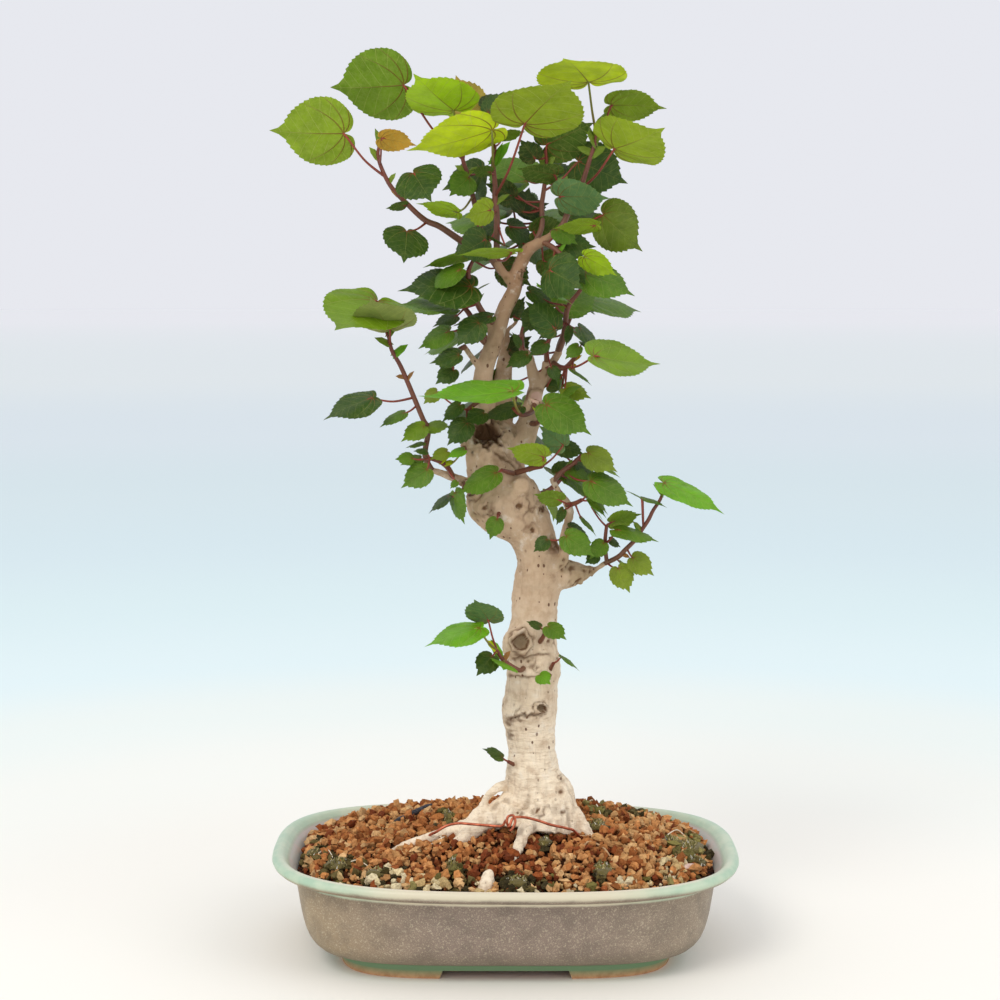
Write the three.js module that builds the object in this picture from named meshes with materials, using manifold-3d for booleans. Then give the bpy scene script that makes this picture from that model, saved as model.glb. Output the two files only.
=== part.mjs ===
// Sea hibiscus bonsai in a glazed oval pot, in millimetres, +Z up, front towards -Y
import * as THREE from 'three';
import { mergeVertices } from 'three/addons/utils/BufferGeometryUtils.js';
import Module from 'manifold-3d';

const wasm = await Module();
wasm.setup();

// Driving dimensions of the pot
const potLength = 278;
const potDepth = 201;
const potHeight = 60;
const footHeight = 5;
const footOutside = 41.5; // how far in from the rim the feet's outer and inner faces stand
const footInside = 52;
const footGapFront = 36; // half the gap between the feet at the front and the back
const footGapEnd = 14;
const rimSquareness = 2.9; // 2 is an ellipse, higher is nearer a rectangle
const footSquareness = 4.3;
const frontSteepness = 0.75; // how much less the long walls lean than the ends
const potSides = 32;
const drainHoleRadius = 9;
const drainHoleAcross = 60; // each hole's distance from the middle
const drainHoleDepth = 0;
const floorTop = 14;
const rimDrop = 0.0065; // fired a little out of true, lower on the right
const endRise = 1.6; // and higher at the ends

// Driving dimensions of the planting
const soilTop = 77;
const soilEdge = 54.5;
const soilInset = 15.6;
const soilRings = 6;
const granuleRelief = 0.8;
const moundFront = 1.6; // how squarely the mound is heaped: 1 is a cone
const moundBack = 2.6;
const soilRest = 0.4; // the soil's seat above the pot's floor
const wireRadius = 0.8;
const wireSteps = 44;
const wireSides = 4;
const bladeThickness = 0.7;
const bladeDroop = 0.1; // of the blade's length
const bladeFold = 0.08;
const stalkDroop = 0.08;
const stalkRoot = 1.6; // how far the stalk runs on inside the blade's base
const stalkSink = 0.05;
const stalkTip = 0.2;
const petioleRadius = 0.62;
const stemSides = 3;
const branchSides = 6;
const rootSides = 5;
const trunkSides = 10;
const knobbliness = 0.035;
const fitGap = 0.35; // clear air between pieces that touch

// The eye that the front view is drawn from: places are measured on an upright sheet that stands
// a sheetDistance in front of it, across from the sheet's middle and up from the pot's foot line
const eye = new THREE.Vector3(-3.3, -1177.7, 391.9);
const sheetDistance = 1200;
const plantingFront = 6; // the tree's places are given from a plane this far in front of the pot's middle
const sheetMiddle = 288;
const lookDown = THREE.MathUtils.degToRad(6);

// A place on the sheet, and how far behind the planting's plane it lies, as a point in space
function seen(across, up, depth) {
  const drop = (sheetMiddle - up) / sheetDistance;
  const ray = new THREE.Vector3(
    across / sheetDistance,
    Math.cos(lookDown) - Math.sin(lookDown) * drop,
    -Math.sin(lookDown) - Math.cos(lookDown) * drop
  );
  return ray.multiplyScalar((depth - plantingFront - eye.y) / ray.y).add(eye);
}

// Trunk and branches: across, up, depth, radius of each ring
const trunkRings = [
  [20, 88, -4, 28], [22, 101, 0, 26], [24, 108, 0, 22.6], [23, 114, 0, 19.4], [20, 122, 0, 16.6],
  [19, 138, 0, 14], [18, 156, 0, 15.8], [18, 167, 0, 16], [19.5, 179, 0, 15.2], [20.5, 189, 0, 16.2],
  [19, 204, 0, 15.4], [20.4, 217, 0, 13.8], [21, 229, 0, 13.8], [23.4, 240, 0, 14.6],
  [24, 252, 0, 13.6], [21.3, 261, 0, 13], [17.4, 270, 0, 14.4], [10.2, 279, 0, 18.4],
  [1.2, 290, 0, 21.8], [-1.5, 300, 0, 17.6], [-3, 310, 0, 16.6], [-3.6, 327, 1, 16.4],
  [-5.5, 336, 2, 9.5],
];
const branches = {
  front: [[-7, 330, -2, 9], [-10, 350, -7, 6.2], [-9.6, 365, -9, 5.6], [-3, 384, -9, 5], [2.4, 402, -9, 4.6],
    [8.4, 414, -9, 4.3], [9.6, 423, -9, 4.2], [13, 431, -8, 4], [18, 439, -8, 3.4], [29, 445, -8, 2.6],
    [33, 449, -8, 1.9]],
  frontFork: [[8, 417, -9, 3.2], [3, 423, -10, 2.7], [-2, 431, -10, 2.5], [-2, 436, -10, 2.1]],
  frontTwig: [[-8, 363, -9, 2.6], [-15, 371, -12, 2], [-22, 381, -16, 1.6]],
  frontSpur: [[-4, 386, -9, 3], [-8, 397, -10, 2.2]],
  back: [[0, 326, 6, 8.5], [1, 342, 10, 6.6], [1.5, 357, 12, 5.6], [3, 372, 13, 4.2], [3.6, 384, 14, 3.1],
    [4.8, 390, 14, 1.7], [10, 395, 13, 1.4], [9, 401, 13, 1.1]],
  right: [[12, 324, 6, 7], [18, 340, 8, 5.4], [22, 355, 8, 4.5], [27, 361, 8, 3.6], [31, 369, 8, 3],
    [36, 378, 8, 2.4]],
  rightFork: [[22, 354, 8, 4], [19, 367, 6, 3.3], [17, 375, 4, 2.8], [12, 379, 2, 2.2]],
  rightSpur: [[26, 360, 8, 2.6], [27, 372, 7, 1.8]],
  stump: [[12, 318, -4, 8], [16, 330, -6, 6.6], [19, 339, -7, 5.6], [22, 348, -7, 5]],
  shoulder: [[28, 243, 0, 11], [42, 242, -1, 9.6], [51, 241, -1, 8.4], [57, 240, -1, 6.4]],
  shoulderTwig: [[50, 243, -2, 3], [55, 245, -3, 2.2], [60, 248, -4, 1.8], [64, 251, -5, 1.5]],
  lowerRight: [[30, 248, -8, 5], [38, 253, -11, 3.4], [38, 264, -13, 2.8], [41, 276, -14, 2.6],
    [42, 281, -14, 2.4], [39, 288, -14, 2.2], [34, 295, -14, 1.9], [31, 301, -14, 1.5]],
  left: [[-9, 296, -4, 6], [-17, 297, -6, 3.8], [-27, 301, -8, 2.7], [-41, 306, -10, 2]],
  burl: [[-10, 318, -7, 10], [-17, 325, -8, 7.5], [-20, 328, -8, 5]],
  knot: [[12, 296, -12, 7], [13, 297, -20, 4.4]],
  scarSwelling: [[12, 201, -4, 12], [12.5, 202, -14, 9.4], [13, 202, -18, 6]],
  lowSwelling: [[16, 160, -6, 10], [19, 161, -15, 6.6], [20, 161, -17.5, 4]],
};
const roots = {
  left: [[8, 103, -4, 12], [-4, 97, -12, 8.5], [-20, 91, -18, 5], [-38, 86, -22, 3.8], [-52, 82, -26, 3],
    [-62, 78, -28, 2.4], [-72, 72, -30, 1.8]],
  leftLump: [[-6, 97, -14, 7], [-20, 86.5, -25, 4.4], [-33, 75, -33, 2.8]],
  arch: [[6, 117, -2, 3], [1, 116, -6, 2.6], [-6, 112, -10, 2.2], [-11, 104, -12, 2.1], [-17, 98, -14, 2.2],
    [-22, 90, -16, 2.4]],
  front: [[22, 101, -14, 8], [19, 94, -26, 5.4], [14, 89, -34, 4.5], [11, 79, -41, 3.6], [7, 69, -50, 2.6],
    [-1, 60, -62, 2.6], [-9, 53, -75, 3.2]],
  frontEnd: [[-6, 66.5, -68, 1.2], [-6.5, 64.5, -68.5, 2.4], [-7.5, 60, -70, 3.3], [-8.5, 56, -73, 3.6],
    [-10.5, 51, -77, 3.2]],
  right: [[36, 104, -2, 10], [45, 97, -8, 6], [51, 89, -12, 4], [60, 80, -16, 3.2], [72, 73, -20, 2.4]],
  back: [[20, 104, 8, 12], [16, 100, 26, 6], [12, 92, 42, 4], [8, 84, 58, 2.6]],
  backRight: [[32, 104, 6, 11], [46, 98, 24, 5], [62, 88, 40, 3.4], [76, 78, 48, 2.2]],
  backLeft: [[8, 104, 8, 10], [-10, 98, 24, 5], [-28, 88, 36, 3.4], [-44, 80, 44, 2.2]],
};

// Leafy shoots. A stem is a list of across, up, depth, radius. A leaf is the place where its stalk
// meets the blade, the tip from there, the roll of the blade about its midrib (0 is level, 90 shows
// the underside to the front, -90 the upper face, and past 90 the blade is cupped upwards), its width
// over its length and, where the stalk is a long one, the place that it grows from
const shoots = {
  top_left: {
    stems: [[[-2, 431, -10, 2.3], [-14, 438, -12, 2.1], [-24, 444, -14, 2], [-36, 452, -16, 1.8],
      [-45, 456, -16, 1.7], [-55, 465, -16, 1.5], [-66, 477, -16, 1.3], [-73, 493, -15, 1.1],
      [-72, 502, -15, 0.8]]],
    leaves: [
      [-94, 508, -22, -45, -1, 0, -123, 1.03, [-70, 482, -16]],
      [-52, 484, -30, 10, -15, -20, -35, 1.03],
      [-57, 465, -22, -12, -1, -4, 30, 0.9],
      [-56, 449, -28, -1, -17, -21, -19, 1.02, [-43, 455, -16]],
    ],
  },
  leaf_orange: { stems: [], leaves: [[-71, 505, -39, 21, -3, 6, 50, 0.75, [-72, 490, -16.5]]] },
  top_centre_left: {
    stems: [[[1, 424, -8, 1.9], [-7, 436, -3, 1.8], [-12, 452, -1, 1.6], [-17, 473, -2, 1.5],
      [-20, 485, -2, 1.3],
      [-22, 491, -2, 1.2], [-24, 502, -4, 1]]],
    leaves: [
      [-58, 537, -10, -45, -4, 8, -124, 1.05, [-23, 492, -2]],
      [-28, 522, -12, -24, 18, -36, -167, 0.95, [-24, 500, -4]],
      [-19, 481, -12, -11, -10, -8, -60, 1],
      [-26, 461, -26, -24, 7, 2, 22, 0.95, [-15, 470, -3]],
    ],
  },
  leaf_bronze: { stems: [], leaves: [[-19, 521, 10, -8, 23, 8, -50, 1, [-22, 492, -0.5]]] },
  top_centre: {
    stems: [[[-2, 436, -11, 2], [-2, 441, -12, 1.9], [-2, 459, -14, 1.8], [-3, 468, -14, 1.7],
      [-3, 477, -14, 1.5], [-4, 489, -14, 1.3], [-3, 500, -12, 1]]],
    leaves: [
      [-5, 510, -32, -50, -18, 7, -158, 0.96, [-4, 486, -14]],
      [15, 514, -40, 28, 31, -41, 16, 0.96, [-2, 470, -14]],
      [-6, 462, -30, -16, -4, -6, 70, 1],
      [-6, 485, -24, -12, 2, -4, 30, 1],
      [-7, 521, 2, 9, 13, 2, -50, 1],
      [3, 441, -18, -20, 11, 0, 5, 0.5, [-2, 456, -14]],
      [2, 506, -2, 13, 4, 2, 30, 0.9],
    ],
  },
  leaf_level: { stems: [], leaves: [[7, 437, -44, -34, 2, -10, 10, 0.9, [-1, 432, -13.2]]] },
  top_right: {
    stems: [[[31, 448, -8, 2], [36, 451, -10, 1.9], [39, 456, -10, 1.8], [43, 466, -10, 1.7],
      [46, 471, -10, 1.6],
      [50, 480, -10, 1.5], [54, 493, -10, 1.3], [57, 502, -10, 1.1], [58, 510, -10, 0.9]]],
    leaves: [
      [53, 539, -20, -15, 20, -43, 5, 1.07, [57, 508, -10]],
      [67, 525, -10, 33, 1, 0, 37, 0.89, [58, 506, -10]],
      [69, 499, -28, 28, 8, -36, -146, 1, [47, 473, -10]],
      [36, 470, -22, 31, 1, -12, 50, 0.85],
      [62, 459, -24, 22, -22, -14, -90, 0.93, [37, 452, -10]],
      [57, 453, -38, -26, 0, 1, 21, 0.94, [36, 451, -10]],
      [33, 483, -26, -23, 6, -10, 26, 0.94, [41, 462, -10]],
    ],
  },
  top_middle: {
    stems: [[[20, 440, -6, 1.7], [25, 452, -2, 1.6], [25, 465, 0, 1.5], [26, 472, 0, 1.4], [28, 489, 0, 1.1],
      [27, 498, 0, 0.8]]],
    leaves: [
      [47, 491, -2, 30, -13, -1, -90, 0.97, [26, 474, 0]],
      [28, 501, -2, 29, 15, -12, 60, 0.9, [28, 486, 0]],
      [29, 485, 6, 15, 5, 4, -40, 0.9],
      [21, 493, -6, -9, 12, -4, 50, 1],
      [14, 461, 4, 4, 15, 4, -60, 1.2],
      [16, 480, 22, -24, 14, 18, -40, 0.95],
      [34, 478, 20, 26, 12, 18, -30, 0.95],
    ],
  },
  upper_left: {
    stems: [[[-1, 392, -9, 2.2], [-10, 400, -14, 1.9], [-16, 412, -18, 1.7], [-19, 424, -20, 1.4],
      [-16, 432, -20, 1]]],
    leaves: [
      [-20, 435, -22, -27, -5, -2, 16, 0.94],
      [-24, 426, -32, -22, -10, 2, -33, 0.94],
      [-18, 416, -28, -43, 2, -10, -34, 0.95],
      [-29, 404, -26, -31, 5, -8, -20, 0.8, [-13, 406, -16]],
      [-9, 444, -28, -16, -9, -14, -82, 0.9],
      [-7, 435, -18, -14, 9, -2, -48, 0.8],
    ],
  },
  upper_right: {
    stems: [[[25, 443, -8, 1.8], [31, 440, -14, 1.6], [36, 436, -18, 1.5], [41, 432, -20, 1.3],
      [46, 431, -21, 1]]],
    leaves: [
      [36, 441, -9, 22, 0, -2, -57, 0.94],
      [51, 434, -34, 20, -10, 1, 39, 0.93],
      [51, 424, -22, 31, -11, -4, -39, 0.95],
      [43, 427, -26, 9, -9, -4, -40, 0.9],
      [30, 426, -32, 19, -11, -12, -78, 1.15, [33, 438, -16]],
    ],
  },
  right_rising: {
    stems: [[[35, 377, 8, 2.1], [38, 385, 4, 1.9], [39, 393, 2, 1.7], [40, 401, 0, 1.6], [42, 406, -2, 1.5],
      [46, 411, -4, 1.3], [51, 418, -6, 1]]],
    leaves: [
      [25, 416, -14, 22, -10, 1, -9, 0.95],
      [18, 413, -4, 16, -7, 2, -40, 0.9],
      [33, 391, -14, -17, 17, -4, -70, 0.85],
      [53, 424, -2, 12, -10, 0, -50, 0.8],
      [48, 391, -12, 14, -14, 0, -26, 0.94],
      [34, 404, 16, 26, 10, 12, -34, 0.95],
    ],
  },
  inner_left: {
    stems: [[[-6, 380, -8, 2], [-13, 387, -12, 1.8], [-18, 399, -12, 1.6], [-24, 406, -10, 1.2]]],
    leaves: [
      [-31, 389, -24, -19, -9, -1, -37, 0.94],
      [-13, 394, -32, -13, -13, -6, -50, 0.95],
      [-27, 398, -12, -14, -5, -4, -30, 0.85],
      [-6, 398, -24, -23, -4, -2, -28, 0.7],
    ],
  },
  inner_low_left: {
    stems: [[[-21, 380, -16, 1.6], [-26, 377, -22, 1.4], [-29, 372, -26, 1]]],
    leaves: [
      [-25, 375, -32, -18, -4, 1, -39, 0.96],
      [-28, 366, -24, -11, -8, -4, -50, 0.95],
    ],
  },
  inner_right: {
    stems: [[[13, 379, 2, 1.9], [13, 386, -2, 1.6], [15, 394, -4, 1.3], [19, 400, -4, 1]]],
    leaves: [
      [22, 401, -8, -8, -13, -4, -64, 0.9],
      [16, 375, -16, -13, -7, -4, -40, 0.85],
    ],
  },
  long_left: {
    stems: [[[-41, 306, -10, 1.8], [-45, 315, -12, 1.7], [-43, 330, -14, 1.6], [-46, 336, -14, 1.5],
      [-51, 348, -15, 1.5], [-56, 360, -16, 1.4], [-60, 369, -16, 1.3], [-65, 378, -16, 1.2],
      [-67, 387, -16, 1]]],
    leaves: [
      [-74, 407, -14, -26, -23, -42, 159, 0.93, [-66, 384, -16]],
      [-66, 391, -24, -12, 15, -32, -173, 1.01, [-66, 381, -16]],
      [-77, 349, -26, -30, -10, -9, -24, 0.93, [-52, 349, -15]],
      [-58, 340, -22, -15, -7, -4, -20, 0.8],
      [-46, 332, -22, -14, -8, -4, -40, 0.9],
      [-43, 332, -16, 14, 1, -4, -30, 1],
    ],
  },
  lower_left: {
    stems: [[[-28, 301, -8, 1.8], [-31, 307, -16, 1.6], [-36, 311, -22, 1.4], [-42, 313, -26, 1.1]]],
    leaves: [
      [-44, 306, -30, -16, -10, -4, -47, 0.93],
    ],
  },
  hanging_left: {
    stems: [[[-20, 299, -8, 1.6], [-22, 294, -16, 1.4], [-25, 291, -22, 1.1]]],
    leaves: [
      [-27, 292, -20, 4, -19, -6, -90, 0.94],
      [-31, 290, -16, -13, -9, -1, -15, 0.95],
    ],
  },
  front_level: {
    stems: [[[21, 347, -8, 1.8], [19, 341, -18, 1.5], [13, 339, -28, 1.3], [8, 343, -36, 1.1]]],
    leaves: [
      [7, 353, -46, -56, -8, 0, 167, 0.87, [12, 338, -29]],
      [11, 344, -22, -23, -6, -5, -20, 0.94],
    ],
  },
  front_small: {
    stems: [[[-12, 348, -12, 1.6], [-16, 345, -18, 1.4], [-20, 342, -22, 1.1]]],
    leaves: [
      [-10, 340, -26, -11, -5, -8, -40, 0.9],
      [-24, 345, -26, -11, -10, -4, -60, 0.6],
      [-20, 334, -28, -12, -13, -4, -56, 0.9],
    ],
  },
  middle_right: {
    stems: [[[32, 370, 6, 1.8], [38, 367, -2, 1.6], [43, 371, -8, 1.4], [47, 377, -12, 1.2]]],
    leaves: [
      [57, 374, -34, 38, -8, 11, 148, 0.94, [34, 368, 4]],
      [49, 382, -12, 11, -4, 2, -20, 0.7],
      [43, 366, -16, 13, -8, -4, -6, 0.5],
      [39, 355, -12, 16, -5, -4, -40, 0.9],
      [40, 346, -8, 10, -8, -2, -30, 0.7],
    ],
  },
  middle: {
    stems: [[[28, 372, 6, 1.7], [28, 379, -4, 1.5], [30, 386, -10, 1.2]]],
    leaves: [
      [32, 392, -4, -10, -7, 2, -40, 0.9],
      [27, 382, -16, -10, -7, -4, -40, 0.9],
    ],
  },
  stump_shoot: {
    stems: [[[18, 334, -10, 1.8], [22, 334, -20, 1.5], [25, 338, -28, 1.2]]],
    leaves: [
      [28, 345, -34, 28, -16, -6, -44, 0.9],
    ],
  },
  low_front_right: {
    stems: [[[5, 303, -8, 1.9], [19, 307, -19, 1.5], [25, 308, -27, 1.2]]],
    leaves: [
      [38, 321, -32, -14, 12, 5, 78, 0.95],
      [26, 314, -36, -22, 7, -3, 43, 0.94],
    ],
  },
  front_hanging: {
    stems: [[[8, 304, -14, 1.5], [4, 305, -22, 1.3], [1, 306, -27, 1]]],
    leaves: [[-3, 304, -30, -23, -11, -2, -33, 0.92]],
  },
  right_spray: {
    stems: [[[32, 299, -14, 1.7], [35, 303, -14, 1.6], [40, 307, -15, 1.5], [45, 311, -16, 1.3],
      [49, 315, -17, 1]]],
    leaves: [
      [53, 316, -22, 18, -10, -5, -44, 0.92],
      [46, 310, -10, 13, -6, 2, -40, 0.9],
      [58, 309, -18, 15, -6, -2, -12, 0.5, [47, 313, -16]],
      [55, 299, -26, 26, -13, -4, -35, 0.92, [38, 305, -15]],
      [41, 301, -8, 23, -12, 4, -30, 0.7],
    ],
  },
  right_drooping: {
    stems: [[[40, 285, -15, 1.6], [45, 286, -20, 1.4], [49, 288, -24, 1.2]]],
    leaves: [
      [53, 292, -26, 13, -12, -4, -14, 0.6],
      [54, 288, -28, 11, -10, -4, -10, 0.6],
      [36, 288, -26, -16, 5, -6, 46, 0.8],
      [49, 277, -20, 10, -10, -2, -12, 0.5],
    ],
  },
  shoulder_low: {
    stems: [[[39, 264, -15, 1.6], [41, 266, -22, 1.3], [43, 268, -27, 1]]],
    leaves: [
      [40, 266, -32, 22, -14, -6, -52, 0.86],
      [42, 271, -22, 14, -8, 2, -40, 0.9],
    ],
  },
  long_right: {
    stems: [[[63, 250, -5, 1.5], [71, 254, -8, 1.5], [75, 258, -9, 1.4], [82, 265, -10, 1.3],
      [85, 270, -10, 1.2],
      [89, 276, -10, 1.2], [92, 282, -10, 1.1], [96, 288, -10, 1], [99, 296, -10, 0.8]],
    [[64, 251, -6, 1.3], [63, 262, -10, 1.2], [64, 273, -12, 1]]],
    leaves: [
      [99, 298, -12, 37, -15, -8, -24, 0.62],
      [85, 289, -18, -10, 6, 4, 10, 0.5, [86, 271, -10]],
      [86, 289, -12, 15, -4, -2, -10, 0.6, [86, 271, -10]],
      [80, 253, -14, 13, -10, -2, -60, 0.9],
      [71, 247, -14, 7, -15, -2, -76, 0.9, [64, 251, -5]],
      [62, 262, -16, -8, -9, -4, -60, 0.9],
      [67, 275, -12, 18, 6, 2, 45, 0.95],
      [70, 270, -20, 26, -5, -4, -12, 0.94, [65, 262, -10]],
    ],
  },
  low_left_sprout: {
    stems: [[[14, 187, -15, 1.6], [11, 186, -22, 1.4], [2, 192, -26, 1.3], [-2, 198, -28, 1.1]]],
    leaves: [
      [-13, 211, -34, -33, -8, -9, -13, 0.92],
      [-7, 216, -26, -8, 15, -15, 8, 0.97],
      [-5, 194, -32, -9, -11, -8, -43, 0.95],
      [3, 190, -32, 0, -2, -19, -27, 0.95],
    ],
  },
  low_right_sprout: {
    stems: [[[24, 203, -14, 1.5], [26, 206, -20, 1.3], [27, 209, -23, 1]]],
    leaves: [
      [29, 212, -26, 11, -7, -7, -34, 0.93],
    ],
  },
  bud_leaf_upper: {
    stems: [[[30, 186, -12, 1.3], [32, 190, -17, 1.1]]],
    leaves: [[37, 194, -20, 12, -8, -2, -6, 0.5]],
  },
  bud_leaf_lower: {
    stems: [[[28, 180, -12, 1.3], [30, 183, -18, 1.1]]],
    leaves: [[24, 183, -20, 6, -5, -8, -40, 0.95]],
  },
  bud_leaf_base: {
    stems: [[[9, 129, -8, 1.3], [5, 131, -13, 1.1]]],
    leaves: [[1, 134, -15, -11, 6, -2, -25, 0.95]],
  },
  bud_leaf_fork: {
    stems: [[[0, 282, -16, 1.4], [-1, 279, -22, 1.1]]],
    leaves: [[-2, 276, -24, -4, -12, -2, -70, 0.9]],
  },
  back_upper: {
    stems: [[[10, 426, -6, 1.9], [12, 430, 4, 1.7], [12, 434, 16, 1.6], [12, 444, 26, 1.4],
      [10, 454, 32, 1.1]]],
    leaves: [
      [-4, 456, 28, -30, 2, 18, -30, 0.95],
      [8, 462, 38, -10, 12, 34, -24, 0.95],
      [24, 456, 34, 34, 6, 12, -20, 0.95],
      [22, 440, 30, 24, -6, 24, -38, 0.9],
      [2, 438, 28, -26, -10, 22, -30, 0.9],
    ],
  },
  back_left: {
    stems: [[[2, 374, 15, 1.9], [-4, 380, 24, 1.7], [-12, 390, 30, 1.5], [-20, 402, 34, 1.2]]],
    leaves: [
      [-28, 408, 36, -34, 0, 14, -24, 0.95],
      [-18, 412, 52, -10, -4, 34, -30, 0.95],
      [-22, 388, 38, -26, -10, 18, -30, 0.9],
      [-4, 394, 36, 8, -2, 30, -30, 0.9],
      [-12, 376, 34, -14, -10, 20, -40, 0.85],
    ],
  },
  back_right: {
    stems: [[[34, 374, 11, 1.8], [36, 382, 20, 1.7], [40, 392, 28, 1.4], [44, 402, 32, 1.2]]],
    leaves: [
      [52, 408, 34, 34, -4, 16, -24, 0.95],
      [40, 410, 42, 12, -2, 34, -30, 0.95],
      [46, 388, 36, 24, -12, 22, -30, 0.9],
      [30, 386, 34, -10, -8, 20, -40, 0.9],
    ],
  },
  back_middle: {
    stems: [[[0, 320, 10, 2.1], [4, 325, 26, 1.7], [6, 334, 36, 1.5], [8, 344, 40, 1.2]]],
    leaves: [
      [-6, 346, 42, -30, -4, 18, -24, 0.95],
      [10, 350, 56, 4, -4, 34, -30, 0.95],
      [20, 344, 42, 30, -8, 16, -30, 0.95],
      [-2, 328, 40, -20, -12, 14, -40, 0.85],
      [16, 328, 38, 18, -12, 16, -40, 0.85],
    ],
  },
  back_low: {
    stems: [[[14, 289, 6, 2], [28, 293, 20, 1.7], [36, 300, 28, 1.3]]],
    leaves: [
      [44, 302, 30, 30, -8, 14, -30, 0.95],
      [34, 304, 34, 6, -4, 28, -30, 0.9],
      [30, 290, 32, 4, -14, 16, -50, 0.85],
    ],
  },
};

// Leaf outline: radius about the stalk's end over the length, at even steps from the tip to the notch
const leafRadii = [1, 0.765, 0.7, 0.62, 0.53, 0.425, 0.33, 0.25, 0.175, 0.115];
const notchAngle = 160;
const toothDepth = 0.035;
const largeLeaf = 34;
const mediumLeaf = 20;
const largeSteps = 5; // outline points each side of the tip
const mediumSteps = 4;
const smallSteps = 3;
const longStalk = 20;
const largestCrumb = 6;

// Solids from rings of points, closed with flat fans at both ends
function loft(rings) {
  const sides = rings[0].length;
  const positions = rings.flat().flatMap((p) => [p.x, p.y, p.z]);
  const index = [];
  for (let r = 0; r < rings.length - 1; r++) {
    for (let s = 0; s < sides; s++) {
      const a = r * sides + s;
      const b = r * sides + ((s + 1) % sides);
      index.push(a, b, b + sides, a, b + sides, a + sides);
    }
  }
  const last = (rings.length - 1) * sides;
  for (let s = 1; s < sides - 1; s++) {
    index.push(0, s + 1, s, last, last + s, last + s + 1);
  }
  return solidOf(positions, index);
}

// A closed mesh as a solid, turned right side out
function solidOf(positions, index) {
  const geometry = new THREE.BufferGeometry();
  geometry.setAttribute('position', new THREE.Float32BufferAttribute(positions, 3));
  geometry.setIndex(index);
  return toSolid(geometry);
}

function toSolid(geometry) {
  const bare = geometry.clone();
  bare.deleteAttribute('normal');
  bare.deleteAttribute('uv');
  const merged = mergeVertices(bare);
  const vertProperties = merged.attributes.position.array;
  const triVerts = Uint32Array.from(merged.index.array);
  if (signedVolume(vertProperties, triVerts) < 0) {
    triVerts.reverse();
  }
  return new wasm.Manifold(new wasm.Mesh({ numProp: 3, vertProperties, triVerts }));
}

function signedVolume(positions, triangles) {
  const corner = (i) => new THREE.Vector3().fromArray(positions, 3 * triangles[i]);
  let volume = 0;
  for (let t = 0; t < triangles.length; t += 3) {
    volume += corner(t).dot(corner(t + 1).cross(corner(t + 2))) / 6;
  }
  return volume;
}

function toGeometry(solid) {
  const mesh = solid.getMesh();
  const geometry = new THREE.BufferGeometry();
  geometry.setAttribute('position', new THREE.Float32BufferAttribute(mesh.vertProperties, 3));
  geometry.setIndex(Array.from(mesh.triVerts));
  geometry.computeVertexNormals();
  return geometry;
}

function joined(solids) {
  return solids.reduce((whole, solid) => whole.add(solid));
}

// The largest body of a solid: crumbs that a cut leaves loose are dropped
function oneBody(solid, name) {
  const larger = (most, body) => (body.volume() > most.volume() ? body : most);
  const best = solid.decompose().reduce(larger);
  const loose = solid.volume() - best.volume();
  if (loose > largestCrumb) {
    throw new Error(`${name} has a loose part of ${loose.toFixed(1)} cubic millimetres`);
  }
  return best;
}

// A round limb through points with a radius each, swollen by grow
function limb(points, sides, grow = 0, knobbly = 0) {
  const rings = [];
  let side = new THREE.Vector3(1, 0, 0);
  points.forEach(([centre, radius], i) => {
    const before = points[Math.max(i - 1, 0)][0];
    const after = points[Math.min(i + 1, points.length - 1)][0];
    const along = after.clone().sub(before).normalize();
    side = side.clone().addScaledVector(along, -side.dot(along)).normalize();
    const other = along.clone().cross(side);
    const ring = [];
    for (let s = 0; s < sides; s++) {
      const angle = (2 * Math.PI * s) / sides;
      const wave = Math.sin(3 * angle + 0.11 * centre.z) + 0.6 * Math.sin(5 * angle - 0.17 * centre.z);
      const reach = (radius + grow) * (1 + knobbly * wave);
      ring.push(centre.clone()
        .addScaledVector(side, reach * Math.cos(angle))
        .addScaledVector(other, reach * Math.sin(angle)));
    }
    rings.push(ring);
  });
  return loft(rings);
}

function drawnLimb(rows, sides, grow = 0, knobbly = 0) {
  const points = rows.map(([across, up, depth, radius]) => [seen(across, up, depth), radius]);
  return limb(points, sides, grow, knobbly);
}

// The grown wood: trunk, main branches and roots in one piece
function wood(grow = 0) {
  const pieces = [drawnLimb(trunkRings, trunkSides, grow, knobbliness)];
  for (const rows of Object.values(branches)) {
    pieces.push(drawnLimb(rows, branchSides, grow));
  }
  for (const rows of Object.values(roots)) {
    pieces.push(drawnLimb(rows, rootSides, grow));
  }
  return joined(pieces);
}

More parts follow.
